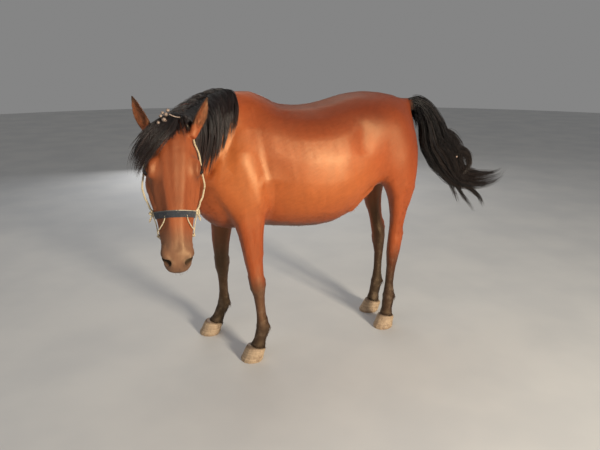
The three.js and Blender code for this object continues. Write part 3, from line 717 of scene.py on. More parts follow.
HIND_STROKES = [
    ([(900, 60, 60), (800, 48, 52), (700, 34, 40)], 44, 7),  # front of the gaskin
    ([(880, -62, 40), (790, -46, 30)], 46, 6),  # calf
    ([(880, -4, 88), (800, -4, 68), (730, -6, 50)], 18, -3),
    ([(735, -20, 44), (670, -20, 37), (612, -18, 36)], 15, -9),  # hollow before the heel tendon
    ([(735, -20, -40), (670, -20, -34), (612, -18, -34)], 15, -9),
    ([(790, -50, 0), (680, -46, 0), (590, -48, 0)], 26, 6),  # heel tendon
    ([(600, -50, 2), (570, -52, 2)], 34, 7),  # point of the hock
    ([(560, -52, 0), (500, -44, 0), (440, -34, 0)], 16, 4),  # ligament below it
    ([(556, 14, 36)], 22, 5), ([(540, 10, -36)], 24, 6), ([(580, -8, 38)], 14, -4), ([(580, -8, -36)], 14, -4),
    ([(500, 30, 22), (460, 30, 20)], 16, 2.5),
    *both_faces([(430, -8, 30), (340, -8, 25), (250, -10, 24)], 9, -4.5),
    ([(430, -34, 0), (330, -28, 0), (250, -32, 0)], 10, 3),
    *both_faces([(204, -28, 18)], 24, 3.5), *both_faces([(200, 28, 16)], 18, 2.5),
    ([(134, -22, 0), (108, -26, 0)], 16, -4),
    *both_faces([(66, -34, 18)], 20, 4), ([(64, -43, 0)], 12, -5),
]  # fmt: skip
leg_strokes = []
for leg in LEGS:
    for line, radius, height in FORE_STROKES if leg.startswith("fore") else HIND_STROKES:
        leg_strokes.append(([on_leg(leg, *spot) for spot in line], radius, height))
sculpt(skin, leg_strokes, in_body, both_sides=False)

# %% [markdown]
# The remesh spent as many points on the flank as on the face. Most of the flank's are collapsed, and none of
# the head's. Slivers left by that are merged and drawn straight, or they would flip over when the skin is
# pushed in later. Then the round sockets of the solid head melt into the face, and the haunch is evened out.

# %% Fewer points on the body
BODY_FACES = 40000
SLIVER = 0.0065  # points of the trunk that are nearer than this become one
LEANING = 0.8  # least cosine between a triangle and the normals of its points


def triangles_of(mesh):
    mesh.calc_loop_triangles()
    corners = np.empty(len(mesh.loop_triangles) * 3, np.int32)
    mesh.loop_triangles.foreach_get("vertices", corners)
    return corners.reshape(-1, 3)


def off_head(co):
    return near_line(left_of_head(co)[0], HEAD_MIDLINE, 170, 230) < 0.01


def on_sockets(co, start, end):
    """1 round the eyes nearer than start, 0 beyond end."""
    return 1 - smooth_step(np.linalg.norm(left_of_head(co)[0] - EYE, axis=1), start, end)


co = get_co(skin.data)
local, _ = left_of_head(co)
on_head = near_line(local, HEAD_MIDLINE, 170, 230)
coarse = 1 - np.maximum(on_head, 0.35 * (in_body(co)[:, 2] < 260))
head_share = float(np.mean(coarse < 0.5))
faces = 2 * len(skin.data.polygons)
ratio = head_share + BODY_FACES / faces
swap_mesh(skin, with_modifiers(skin, (
    "DECIMATE", {"ratio": ratio, "vertex_group": "weights"}), weights=coarse))  # fmt: skip
print("after collapsing:", len(skin.data.polygons), "faces; share kept", round(ratio, 3))

bm = bmesh.new()
bm.from_mesh(skin.data)
points = get_co(skin.data)
trunk_points = np.flatnonzero(off_head(points) & (in_body(points)[:, 2] > 300))
bm.verts.ensure_lookup_table()
bmesh.ops.remove_doubles(bm, verts=[bm.verts[i] for i in trunk_points], dist=SLIVER)
bmesh.ops.triangulate(bm, faces=bm.faces)
bm.to_mesh(skin.data)
bm.free()
for _ in range(4):  # points where a thin triangle still leans over are drawn back to their neighbours
    thirds = triangles_of(skin.data)
    points, normals = get_co(skin.data), get_normals(skin.data)
    flat = np.cross(points[thirds[:, 1]] - points[thirds[:, 0]], points[thirds[:, 2]] - points[thirds[:, 0]])
    flat /= np.linalg.norm(flat, axis=1, keepdims=True) + 1e-12
    lean = np.min(np.sum(flat[:, None] * normals[thirds], axis=2), axis=1)
    leaning = np.zeros(len(points))
    leaning[thirds[lean < LEANING]] = 1
    leaning *= off_head(points)
    relax(skin, 6, leaning)
print("after merging slivers:", len(skin.data.polygons), "faces;", int(leaning.sum()), "points still leaning")

co = get_co(skin.data)
x, y, z = in_body(co).T
haunch = smooth_step(x, 220, 330) * smooth_step(z, 860, 960) * smooth_step(np.abs(y), 50, 90)
swap_mesh(skin, smoothed(skin, 130, np.maximum(on_sockets(co, 46, 84), 0.14 * haunch)))

# %% [markdown]
# The head is nearly all bone: a flat forehead, a sharp crest along the cheek, the arch behind the eye with a
# hollow above it, the round muscle of the jaw, and a narrow nose that widens again at nostrils, lips and chin.

# %% Head
HEAD_STROKES = [
    ([(168, 84, -8), (194, 94, -8), (226, 96, -20)], 28, 8),  # brow
    ([(150, 76, -12), (128, 80, -20)], 22, -4),  # hollow above the eye
    ([(96, 92, -64), (140, 98, -70), (190, 104, -80), (240, 96, -90), (290, 84, -86), (340, 70, -84)], 19, 4.5),
    ([(270, 90, -118), (320, 76, -114)], 26, -2.5),
    ([(262, 66, -28), (330, 58, -38), (420, 48, -48)], 32, -3.5),  # side of the nose
    ([(120, 34, 20), (220, 36, 6), (330, 28, -6), (440, 20, -16), (505, 14, -26)], 22, 1.5),  # its bridge
    ([(514, 0, -28)], 28, -3),  # end of the bone
    ([(130, 88, -130), (190, 94, -150), (240, 88, -150)], 62, 4),  # muscle of the jaw
    ([(308, 70, -112), (300, 68, -150), (276, 62, -196)], 20, -3.5),  # its front edge
    ([(92, 84, -124), (112, 84, -176), (150, 66, -228)], 24, -6),  # behind the jaw
    ([(250, 30, -232), (330, 26, -196), (430, 20, -152)], 20, 3),  # lower edges of the jaw
    ([(210, 0, -246), (320, 0, -206), (440, 0, -152)], 22, -12),  # between them
    ([(96, 86, -44)], 30, -2.5),  # temple
    ([(44, 0, 14), (120, 0, 20)], 30, 2),
    ([(506, 50, -62), (530, 58, -66), (556, 48, -54), (576, 32, -52)], 26, 4.5),  # wings of the nostril
    ([(466, 54, -84), (494, 54, -92)], 24, -2.5),
    ([(602, 0, -78), (592, 26, -78), (568, 46, -86)], 17, 2.5),  # upper lip
    ([(588, 0, -116), (560, 34, -118)], 20, 2.5),  # lower lip
    ([(556, 0, -140)], 26, 4),  # chin
    ([(580, 0, -128), (568, 22, -130)], 9, -2),
]
sculpt(skin, HEAD_STROKES, in_head)

# %% [markdown]
# Now each leaf is bent into a scoop: its edges come forward and its middle goes back, more where the ear is
# wide. Below, the scoop goes on as a dark hole.

# %% Bend the ears
co = get_co(skin.data)
local, side = left_of_head(co)
part, across, out = ear_place(local)
share = on_ear(local)
wide = np.clip(across / np.maximum(ear_row(part, 1), 4), -1.2, 1.2)
scoop = ear_row(part, 3) * share
ear_hole = nearness(local, [ear_root + ear_along * 22 + ear_opens * 12, ear_root + ear_along * 50], 15)
fore = out + scoop * (wide**2 - 0.5) - 9 * ear_hole * (out > 0)
turned = across * (1 - 0.16 * share * wide**2) - 4 * share * smooth_step(part, 0.55, 1.0)
bent = ear_root + np.stack([part * ear_length, turned, fore], axis=1) @ ear_axes
local += (bent - local) * share[:, None]
set_co(skin.data, to_model(local, side))
print("ears:", round(ear_length), "mm long,", int(np.sum(share > 0.5)), "points")

# %% [markdown]
# Lids, nostrils and lips are only millimetres thick, so the mesh is divided again around them, twice at the
# eyes and the nostrils. An ear's edge needs it too.

# %% More points for eyes, nostrils, mouth and ears


def refine(thing, near):
    """Divides the edges whose two ends are chosen."""
    bm = bmesh.new()
    bm.from_mesh(thing.data)
    bm.verts.ensure_lookup_table()
    chosen = set(np.flatnonzero(near).tolist())
    edges = [e for e in bm.edges if e.verts[0].index in chosen and e.verts[1].index in chosen]
    bmesh.ops.subdivide_edges(bm, edges=edges, cuts=1, use_grid_fill=True)
    bmesh.ops.triangulate(bm, faces=[f for f in bm.faces if len(f.verts) > 4])
    bm.to_mesh(thing.data)
    bm.free()
    thing.data.update()


local, _ = left_of_head(get_co(skin.data))
NOSTRIL = snapped([(520, 60, -82), (534, 58, -72), (550, 50, -62), (566, 38, -54)], local)
MOUTH = snapped([(602, 0, -94), (592, 26, -96), (568, 46, -101), (530, 56, -106), (484, 58, -108)], local)
for reach_eye, reach_nostril, reach_mouth in ((52, 30, 12), (36, 19, 0)):
    local, _ = left_of_head(get_co(skin.data))
    near = np.linalg.norm(local - EYE, axis=1) < reach_eye
    near |= nearness(local, NOSTRIL, reach_nostril) > 0
    if reach_mouth:
        near |= nearness(local, MOUTH, reach_mouth) > 0
        near |= on_ear(local) > 0.3
    refine(skin, near)
print("after dividing:", len(skin.data.polygons), "faces")

swap_mesh(skin, smoothed(skin, 24, on_sockets(get_co(skin.data), 40, 74)))

# %% [markdown]
# The eye's opening is an almond on the eyeball. Round it lie the lids: places near the almond are moved so
# that they hug the ball, with a thick edge, then a crease, and further out they meet the face again. Where the
# opening is, the skin drops behind the ball. Angles are seen from the ball's centre, in degrees.

# %% Eyelids
GAZE = np.array((0.12, 0.88, 0.45))
GAZE /= np.linalg.norm(GAZE)
SLIT = np.array((0.92, 0, 0.34))
SLIT = SLIT - GAZE * (SLIT @ GAZE)
SLIT /= np.linalg.norm(SLIT)
LID_UP = np.cross(SLIT, GAZE)
EYE_AXES = np.stack([SLIT, LID_UP, GAZE])
HALF_SLIT, UPPER_LID, LOWER_LID = 54, 33, 21


def lid_edges(along):
    """Heights of the upper and lower edge at an angle along the slit."""
    part = np.clip(along / HALF_SLIT, -1, 1)
    middle = -2 - 5 * part
    arch = np.sqrt(np.maximum(1 - part**2, 0))
    return middle + UPPER_LID * arch * (1 - 0.10 * part), middle - LOWER_LID * arch**1.3


def outside_slit(along, up):
    """Angle from the opening's edge, negative inside the opening."""
    upper, lower = lid_edges(along)
    corner = np.hypot(np.abs(along) - HALF_SLIT, up + 2 + 5 * np.sign(along))
    beyond = np.maximum(up - upper, lower - up)
    return np.where(np.abs(along) > HALF_SLIT, corner, np.where(beyond > 0, np.minimum(beyond, corner), beyond))


def eye_angles(local):
    offset = local - EYE
    reach = np.maximum(np.linalg.norm(offset, axis=1), 1e-6)
    ahead = offset @ GAZE
    along = np.degrees(np.arctan2(offset @ SLIT, np.maximum(ahead, 1e-3)))
    up = np.degrees(np.arcsin(np.clip(offset @ LID_UP / reach, -1, 1)))
    return offset, reach, ahead, along, up


co = get_co(skin.data)
local, side = left_of_head(co)
offset, reach, ahead, along, up = eye_angles(local)
beyond = outside_slit(along, up)
upper_crease = nearness(np.stack([beyond * (up > -2), 0 * up, 0 * up], axis=1), [(19, 0, 0)], 7)
lower_crease = nearness(np.stack([beyond * (up < -2), 0 * up, 0 * up], axis=1), [(15, 0, 0)], 5)
lid = EYE_RADIUS - 4 + 5.4 * smooth_step(beyond, -5, 0.5) + 1.9 * smooth_step(beyond, 0, 4)
lid = lid - 2.6 * upper_crease - 1.5 * lower_crease
off_gaze = np.degrees(np.arccos(np.clip(ahead / reach, -1, 1)))
meets_face = smooth_step(beyond, 2, 16) * smooth_step(off_gaze, 38, 72)
target = lid * (1 - meets_face) + np.maximum(reach, EYE_RADIUS + 3.5) * meets_face
moved = (reach < 70) & (off_gaze < 74)
scale = np.where(moved, target / reach, 1)
local = np.where(moved[:, None], np.array(EYE) + offset * scale[:, None], local)
set_co(skin.data, to_model(local, side))
print("lid points:", int(np.sum(moved & (beyond < 20))))

# %% [markdown]
# A nostril is a comma, wide below and narrow above, with a raised wing round it. It is pressed straight in, to
# the depth where it would turn dark. The mouth is a fold that ends in a small pit, with creases behind it.

# %% Nostrils and mouth
FINE_STROKES = [
    (MOUTH, 8, -6),
    ([(484, 58, -108), (474, 57, -107)], 9, -5),
    ([(462, 58, -98), (466, 60, -108), (462, 58, -118)], 6, -2),
    ([(450, 56, -96), (454, 60, -108), (449, 56, -120)], 7, -1.4),
    ([(606, 0, -86), (598, 0, -66)], 7, -2),
    ([(510, 54, -60), (502, 58, -74), (502, 56, -90)], 9, -1.4),
    ([(497, 50, -58), (490, 56, -74), (489, 54, -92)], 9, -1.1),
    ([(336, 74, -98), (306, 82, -130), (286, 78, -168)], 8, 1.3),  # veins of the face
    ([(352, 68, -92), (400, 58, -80), (446, 54, -68)], 8, 1.1),
]
sculpt(skin, FINE_STROKES, in_head)

co = get_co(skin.data)
local, side = left_of_head(co)
INTO_NOSTRIL = np.array((-0.50, -0.70, -0.50))
NOSTRIL_DEPTH = 25
hollow = np.zeros(len(local))
for t in np.arange(61) / 60:
    hollow = np.maximum(hollow, (0.35 + 0.65 * t**0.6) * nearness(local, [on_rows(NOSTRIL, t)], 8.5 + 8 * t))
local += hollow[:, None] * NOSTRIL_DEPTH * INTO_NOSTRIL
set_co(skin.data, to_model(local, side))
print("nostrils:", int(np.sum(hollow > 0)), "points pressed in")

# %% [markdown]
# The solids include the coat. The skin lies under it by the coat's depth: a few millimetres on the body and
# only one on the face and the legs, where a horse's hair is shortest.

# %% Make room for the coat
co = get_co(skin.data)
local, _ = left_of_head(co)
place = in_body(co)
short_hair = np.maximum(near_line(local, HEAD_MIDLINE, 150, 230), 1 - smooth_step(place[:, 2], 380, 620))
COAT_DEPTH, FACE_DEPTH = 0.0035, 0.0012
depth = COAT_DEPTH + (FACE_DEPTH - COAT_DEPTH) * short_hair
depth *= 1 - np.maximum(on_ear(local) * 0.9, on_sockets(co, 24, 80))
set_co(skin.data, co - get_normals(skin.data) * depth[:, None])
relax(skin, 4, (nearness(place, [(-440, -112, 715)], 40) > 0) * 1.0)  # tight fold of the left armpit
skin.data.shade_smooth()
print("skin:", len(skin.data.vertices), "points")

# %% [markdown]
# ## The colours of a bay
# A bay horse is orange to red brown, with black mane, tail and lower legs. Every marking is a mask, worked
# out from the place on the body: the height above the ground, the distance down the face, the side of a leg.
# One function lays the colours over each other, and both the skin and the tufts of hair take their colour
# from it, so they always agree.

# %% Markings, painted light and painted shade


def srgb(*shares):
    """A colour given as on a screen, 0 to 255, as the shader wants it."""
    return np.array([v / 12.92 if v <= 0.04045 else ((v + 0.055) / 1.055) ** 2.4 for v in np.divide(shares, 255)])


BAY = srgb(150, 66, 29)
# painted light: a lighter, golden bay for shoulder and flank
PAINTED_LIGHT_BAY = srgb(180, 98, 48)
# RED_BAY is a darker bay, used as a colour and also as painted shade on back, croup and belly
RED_BAY = srgb(106, 41, 21)
FACE_BAY = srgb(146, 73, 40)
# FACE_SHADE: painted shade on the face, on the right cheek and in the hollow round the eye
FACE_SHADE = srgb(92, 46, 28)
MUZZLE = srgb(116, 84, 64)
MUZZLE_DARK = srgb(64, 48, 40)
DUSTY = srgb(74, 49, 36)
# POINTS_DARK_AND_SHADE: the black points, and painted shade on the legs' inner faces
POINTS_DARK_AND_SHADE = srgb(34, 24, 20)
PALE_CANNON_BAND = srgb(112, 78, 56)
DARK_SKIN = srgb(40, 32, 30)
EAR_RIM = srgb(30, 22, 19)
EAR_INSIDE = srgb(126, 72, 46)


def lay(color, mask, over, share=1.0):
    """One colour over another, where the mask is and by the share."""
    return color + (np.asarray(over) - color) * (np.clip(mask, 0, 1) * share)[:, None]


def leg_spot(place):
    """For places below the body: the middle distance of the leg and how far they lie in front of its line."""
    x, y, z = place.T
    hind = x > 0
    middle, ahead = np.zeros(len(x)), np.zeros(len(x))
    for leg, (side, line) in LEG_LINES.items():
        heights, xs, ys = np.array(line[::-1], float).T
        mine = (hind == leg.startswith("hind")) & (np.sign(y) == side)
        middle[mine] = np.interp(z[mine], heights, ys)
        ahead[mine] = np.interp(z[mine], heights, xs) - x[mine]
    return hind, middle, ahead


def coat_color(co):
    """The coat's colour at places in the model: masks, each with its colour and share, one over the other."""
    place = in_body(co)
    level = place * (1, 0, 1)
    local, _ = left_of_head(co)
    x, y, z = place.T
    down = local[:, 0]
    on_head = near_line(local, HEAD_MIDLINE, 150, 235)
    hind, middle, ahead = leg_spot(place)
    # inner: the inner faces of the legs, which get painted shade
    inner = smooth_step(middle - np.abs(y), -6, 34)
    # the right fore's darker colour starts higher: darker hair there, and painted shade, as that leg stands in
    # shade
    start = np.where(hind, 530, np.where(y > 0, 600, 500))
    dark = 1 - smooth_step(z, np.where(hind, 300, 150), np.where(hind, 470, 330))
    stripe = smooth_step(ahead, -16, 2) * (1 - smooth_step(ahead, 8, 24)) * (z < 400) * smooth_step(z, 170, 260)
    # back: painted shade on the top of the back
    back = smooth_step(z, 1130, 1300) * smooth_step(x, -420, -150) * (1 - smooth_step(x, 300, 460))
    dock = np.maximum(smooth_step(x, 622, 652) * (z > 1120), smooth_step(x, 598, 628) * smooth_step(z, 1235, 1262))
    # painted shade on the horse's right cheek, the side away from the key light
    right_cheek_shade = nearness(in_head(co), [(250, -92, -60), (400, -60, -50), (480, -52, -60)], 62)
    part, width, out = ear_place(local)
    ear = on_ear(local)
    rim = smooth_step(np.abs(width) / np.maximum(ear_row(part, 1), 4), 0.55, 0.88)
    layers = [
        # painted shade: back, top line and croup darker, as surfaces facing up get little of the low key light
        (back, RED_BAY, 0.9),
        (smooth_step(z, 1240, 1400) * smooth_step(x, -420, -150), RED_BAY, 0.6),
        (nearness(level, [(470, 0, 1290), (560, 0, 1180)], 260), RED_BAY, 0.55),  # croup
        # painted light: shoulder and flank lighter and more golden where the key light falls on them
        (nearness(level, [(-560, 0, 1180), (-430, 0, 960)], 240), PAINTED_LIGHT_BAY, 0.7),  # shoulder
        (nearness(level, [(-150, 0, 900), (200, 0, 930)], 230), PAINTED_LIGHT_BAY, 0.5),  # flank
        # painted shade under the belly
        ((1 - smooth_step(z, 690, 790)) * (np.abs(x) < 330), RED_BAY, 0.6),  # under the belly
        # darker skin and painted shade between the hind legs
        (smooth_step(150 - np.abs(y), 0, 120) * (z < 900) * smooth_step(x, 180, 330), DARK_SKIN, 0.75),
        (nearness(place, [(640, 0, 1290), (610, 0, 1130), (570, 0, 980)], 85), DARK_SKIN, 0.9),
        (dock, DARK_SKIN, 0.95),
        (1 - smooth_step(z, start - 110, start + 30), np.where(hind[:, None], RED_BAY * 0.55, DUSTY), 0.92),
        (dark, POINTS_DARK_AND_SHADE, 0.85),
        # a paler band down the sides of the fore cannons, a little to the front
        (stripe * ~hind, PALE_CANNON_BAND, 0.55),
        (1 - smooth_step(z, 60, 130), POINTS_DARK_AND_SHADE, 0.8),
        # painted shade on the inner faces of the legs, up past the black points
        (inner * (1 - smooth_step(z, 620, 860)) * (1 - on_head), POINTS_DARK_AND_SHADE, np.where(hind, 0.9, 0.72)),
        (on_head, FACE_BAY, 1.0),
        (on_head * nearness(local, [(60, 0, 20), (220, 0, 10), (330, 0, -8)], 70), RED_BAY, 0.5),  # forehead
        # painted shade on the right cheek
        (on_head * smooth_step(down, 60, 160) * right_cheek_shade, FACE_SHADE, 0.55),
        (on_head * nearness(local, [(300, 64, -160), (420, 44, -140)], 60), BAY, 0.5),  # jaw
        (on_head * smooth_step(down, 400, 520), MUZZLE, 0.85),
        (nearness(local, NOSTRIL, 34), MUZZLE_DARK, 0.8),
        # painted shade deep inside the nostril
        (nearness(local - INTO_NOSTRIL * 17, NOSTRIL, 17), MUZZLE_DARK * 0.12, 0.96),
        (nearness(local, MOUTH, 22), MUZZLE_DARK, 0.75),
        (on_head * smooth_step(down, 560, 606), MUZZLE_DARK, 0.5),
        # painted shade in the hollow round the eye
        (nearness(local, [EYE], 62) * on_head, FACE_SHADE, 0.8),
        (nearness(local, [EYE], 34) * on_head, DARK_SKIN, 0.8),
        (ear, FACE_BAY, 0.8),
        (ear * (out > -6) * smooth_step(part, 0.1, 0.3), EAR_INSIDE, 0.35),
        (ear * np.maximum(rim, smooth_step(part, 0.66, 0.92)), EAR_RIM, 0.88),
    ]
    color = np.tile(BAY, (len(co), 1))
    for mask, over, share in layers:
        color = lay(color, mask, over, share)
    return color


def set_color(mesh, color, name="tint"):
    layer = mesh.attributes.new(name, "FLOAT_COLOR", "POINT")
    layer.data.foreach_set("color", np.concatenate([color, np.ones((len(color), 1))], axis=1).ravel())


def set_value(mesh, value, name):
    layer = mesh.attributes.new(name, "FLOAT", "POINT")
    layer.data.foreach_set("value", np.asarray(value, float))


co = get_co(skin.data)
local, _ = left_of_head(co)
set_color(skin.data, coat_color(co))
drawn_out = local - INTO_NOSTRIL * 12
in_nostril = np.maximum.reduce([nearness(drawn_out, [on_rows(NOSTRIL, t)], 15) for t in np.linspace(0, 1, 13)])
on_lips = smooth_step(local[:, 0], 500, 575) * near_line(local, HEAD_MIDLINE, 150, 200)
bare = np.maximum(np.clip(1.6 * in_nostril, 0, 1), 0.8 * on_lips)
# hollow: the insides of the nostrils, where the finish paints shade
set_value(skin.data, np.clip(1.8 * in_nostril, 0, 1), "hollow")
set_value(skin.data, bare, "bare")
set_value(skin.data, near_line(local, HEAD_MIDLINE, 150, 230), "on_head")
print("bare skin:", int(np.sum(bare > 0.5)), "points of lips and nostrils")

# %% [markdown]
# The hairs of a short coat are too fine to model one by one, so the finish draws them: noise stretched along
# the lie of the hair gives the streaks, and the same noise as a bump breaks up the gloss. Hair lies backwards
# and down on the trunk, straight down on the legs, and along the face on the head, which takes three
# directions, blended by place.

# %% The coat's finish


def coat_finish(name):
    material, make, link = finish(name, Specular_IOR_Level=0.85, Specular_Tint=(1.0, 0.72, 0.42, 1.0))
    place = place_of(make)
    z = place.xyz()[2]
    tint = painted(make, "tint", 0)
    on_head, hollow, bare = (painted(make, mask) for mask in ("on_head", "hollow", "bare"))
    on_leg = z.ramp(0.55, 0.8, 1, 0)

    def turned(degrees, scale):
        settings = {"rotation_type": "Y_AXIS"}
        turn = make.node("ShaderNodeVectorRotate", settings, Vector=place, Angle=math.radians(degrees))
        return turn.stretched(*scale)

    def along_hair(fine, coarse):
        """Noise drawn out along the lie of the hair."""
        trunk = turned(28, (coarse, fine, fine)).noise(1, 2)
        leg = place.stretched(fine, fine, coarse).noise(1, 2)
        head = turned(-8, (fine, fine, coarse)).noise(1, 2)
        return (trunk * (1 - on_leg) + leg * on_leg) * (1 - on_head) + head * on_head

    hairs = along_hair(700, 60)
    locks = along_hair(95, 17)
    streaks = place.stretched(30, 30, 6).noise(1, 3, 0.6)
    patches = place.noise(3.2, 3, 0.55)
    shade = 0.86 + hairs * 0.16 + locks.ramp(0.3, 0.7) * 0.10
    shade = shade + streaks.ramp(0.35, 0.65) * 0.10 + patches.ramp(0.3, 0.7) * 0.08
    color = tint.times(make.rgb(shade, shade * (0.97 + locks * 0.05), shade * 0.98))
    dust = place.noise(26, 4, 0.7).ramp(0.45, 0.75) * z.ramp(0.1, 0.75, 0.35, 0.0)
    color = dust.tint(color, srgb(150, 126, 104))
    # painted shade inside the nostrils
    color = hollow.tint(color, srgb(16, 11, 10))
    rough = 0.35 + hairs * 0.12 + patches.ramp(0.35, 0.65) * 0.07 + z.ramp(0.2, 0.7, 0.16, 0)
    rough = rough + on_head * 0.10 + bare * 0.02 + hollow * 0.3
    pores = place.noise(520, 2)
    height = hairs * (1 - bare) * 0.7 + locks * 0.6 + pores * bare
    link(Base_Color=color, Roughness=rough, Normal=bump(make, height, 0.0012, 0.55))
    return material


dress(skin, coat_finish("short_coat"), "coat", *body_nodes, *head_nodes)

# %% [markdown]
# ## Eyes
# A horse's eye is a big ball, nearly black: a dark brown iris with a wide pupil that lies level, and a clear
# cornea that bulges a little. A ball could be cut from the solid, but a new one has its pole where the gaze
# goes, so that iris and pupil are simply angles from the pole.

# %% Eyeballs
IRIS, PUPIL, EYE_WHITE = srgb(36, 18, 9), srgb(4, 3, 5), srgb(58, 38, 30)


for name, side in (("left", 1), ("right", -1)):
    bm = bmesh.new()
    bmesh.ops.create_uvsphere(bm, u_segments=56, v_segments=44, radius=1)
    ball = add_object(f"eyeball_{name}", mesh_from(bm, f"eyeball_{name}"))
    unit = get_co(ball.data)
    off_pole = np.degrees(np.arccos(np.clip(unit[:, 2], -1, 1)))
    reach = EYE_RADIUS + 1.1 * (1 - smooth_step(off_pole, 22, 44))
    set_co(ball.data, to_model(np.array(EYE) + (unit * reach[:, None]) @ EYE_AXES, side))
    if side < 0:
        ball.data.flip_normals()
    oval = np.hypot(unit[:, 0] / 0.36, unit[:, 1] / 0.20)
    color = np.tile(IRIS, (len(unit), 1))
    color = lay(color, smooth_step(off_pole, 18, 33), IRIS * 0.35)
    color = lay(color, smooth_step(off_pole, 40, 52), EYE_WHITE)
    color = lay(color, 1 - smooth_step(oval, 0.9, 1.1), PUPIL)
    set_color(ball.data, color)
    ball.data.shade_smooth()
    eye_finish, make, link = finish(f"eye_{name}", Coat_Roughness=0.02, IOR=1.38)
    fibres = place_of(make).noise(900, 3).ramp(0.3, 0.8, 0.75, 1.15)
    link(
        Base_Color=painted(make, "tint", 0).times(make.rgb(fibres, fibres, fibres)),
        Roughness=place_of(make).noise(160, 2).ramp(0.3, 0.7, 0.04, 0.09),
        Coat_Weight=place_of(make).noise(40, 1).ramp(0.3, 0.7, 0.8, 1.0),
    )
    dress(ball, eye_finish, "eyeball", f"eye_{name}")

# %% [markdown]
# Where the lids meet the ball, the skin is bare, dark and wet. The skin's points are too far apart for such an
# edge, so a thin tube runs round the opening: a curve with a round section, made a mesh. Ropes, knots and a
# straw are tubes too.

# %% Edges of the lids


def tube(points, radius, closed=False, sides=3, radii=None):
    """A round tube along places in the model, as a mesh."""
    curve = bpy.data.curves.new("tube", "CURVE")
    curve.dimensions = "3D"
    curve.bevel_depth = radius
    curve.bevel_resolution = sides
    curve.use_fill_caps = True
    spline = curve.splines.new("POLY")
    spline.points.add(len(points) - 1)
    spline.points.foreach_set("co", np.concatenate([points, np.ones((len(points), 1))], axis=1).ravel())
    if radii is not None:
        spline.points.foreach_set("radius", radii)
    spline.use_cyclic_u = closed
    thing = add_object("tube", curve)
    bpy.context.view_layer.update()
    mesh = bpy.data.meshes.new_from_object(thing.evaluated_get(bpy.context.evaluated_depsgraph_get()))
    bpy.data.objects.remove(thing)
    bpy.data.curves.remove(curve)
    mesh.shade_smooth()
    return mesh


def merged(name, meshes):
    """One mesh out of several, which are used up."""
    bm = bmesh.new()
    for mesh in meshes:
        bm.from_mesh(mesh)
        bpy.data.meshes.remove(mesh)
    mesh = mesh_from(bm, name)
    mesh.shade_smooth()
    return mesh


def on_ball(along, up, reach):
    """A place round the left eyeball by its two angles, in the head's frame."""
    a, b = np.radians(along), np.radians(up)
    spot = np.stack([np.sin(a) * np.cos(b), np.sin(b), np.cos(a) * np.cos(b)], axis=-1)
    return np.array(EYE) + spot * reach @ EYE_AXES


rims = []
for side in (1, -1):
    turn = np.linspace(0, 2 * math.pi, 73)[:-1]
    along = HALF_SLIT * np.cos(turn) * 0.99
    upper, lower = lid_edges(along)
    up = np.where(np.sin(turn) > 0, upper, lower)
    rims.append(tube(to_model(on_ball(along, up, EYE_RADIUS + 1.6), side), 1.2 * MM, closed=True))
lid_rims = add_object("lid_rims", merged("lid_rims", rims))
rim_finish, make, link = finish("lid_edge", Specular_IOR_Level=0.6)
wet = place_of(make).noise(300, 2)
link(Base_Color=wet.tint(srgb(18, 12, 11), srgb(38, 26, 22)), Roughness=wet.ramp(0.3, 0.7, 0.2, 0.42),
     Normal=bump(make, wet, 0.0004, 0.6))  # fmt: skip
dress(lid_rims, rim_finish, "coat")

# %% [markdown]
# ## Hooves
# A hoof grows down from its coronet in rings a few millimetres wide, and its wall is fibrous from top to
# bottom. Each faceted hoof is remeshed finely and smoothed, and then waves with its height. Nothing of it goes
# below the ground, so its sole stays flat.

# %% Hooves
HOOF_RING, HOOF_VOXEL = 7.5, 0.0034

hoof_finish, make, link = finish("horn", Specular_IOR_Level=0.4)
place = place_of(make)
fibres = place.stretched(260, 260, 18).noise(1, 3)
bands = place.stretched(6, 6, 150).noise(1, 2)
dirt = place.noise(45, 4, 0.65)
color = (fibres * 0.5 + bands * 0.5).ramp(0.3, 0.7).tint(srgb(150, 124, 98), srgb(196, 170, 138))
color = (dirt.ramp(0.5, 0.72) * place.xyz()[2].ramp(0.0, 0.06, 0.9, 0.35)).tint(color, srgb(112, 88, 68))
color = place.xyz()[2].ramp(0.062, 0.088).tint(color, srgb(92, 72, 58))
link(Base_Color=color, Roughness=(fibres * 0.3 + dirt * 0.35 + 0.3),
     Normal=bump(make, fibres * 0.5 + bands * 0.6 + dirt * 0.3, 0.0016, 0.7))  # fmt: skip
for leg in LEGS:
    hoof = add_object(f"hoof_{leg}", joined("hoof", [nodes[f"{leg}_hoof"].data], 0.0004))
    remesh(hoof, HOOF_VOXEL)
    relax(hoof, 10, np.ones(len(hoof.data.vertices)))
    co = get_co(hoof.data)
    height = co[:, 2] / MM
    wall = smooth_step(height, 4, 14)
    wave = np.sin(2 * math.pi * height / HOOF_RING + 1.5 * np.sin(co[:, 0] * 40)) * 0.35
    flare = 2.2 * (1 - smooth_step(height, 0, 30)) - 1.6 * smooth_step(height, 62, 76)
    co += get_normals(hoof.data) * ((wave + flare) * wall * MM)[:, None]
    co[:, 2] = np.maximum(co[:, 2], 0)
    set_co(hoof.data, co)
    hoof.data.shade_smooth()
    dress(hoof, hoof_finish, "horn", f"{leg}_hoof")

# %% [markdown]
# ## The halter
# The halter is simple: a webbing band round the nose, a twisted rope from cheek to cheek behind the ears, and
# thin cords by the mouth, all tied with knots. Each route runs round the head: a place is given by how far
# down the face it is and by its angle from the middle of the face. A ray from inside the head finds the skin
# there, and the rope lies on it.

# %% Routes round the head
ROPE, CORD, STRAP_WIDTH, STRAP_THICK = 8, 5, 28, 2.6
CORE = [  # where rays start inside the head: distance down the face, depth under it
    (-30, -56), (45, -73), (100, -88), (150, -106), (200, -118), (250, -120), (300, -110), (350, -96), (400, -87),
    (600, -80),
]  # fmt: skip
skin_tree = BVHTree.FromObject(skin, bpy.context.evaluated_depsgraph_get())


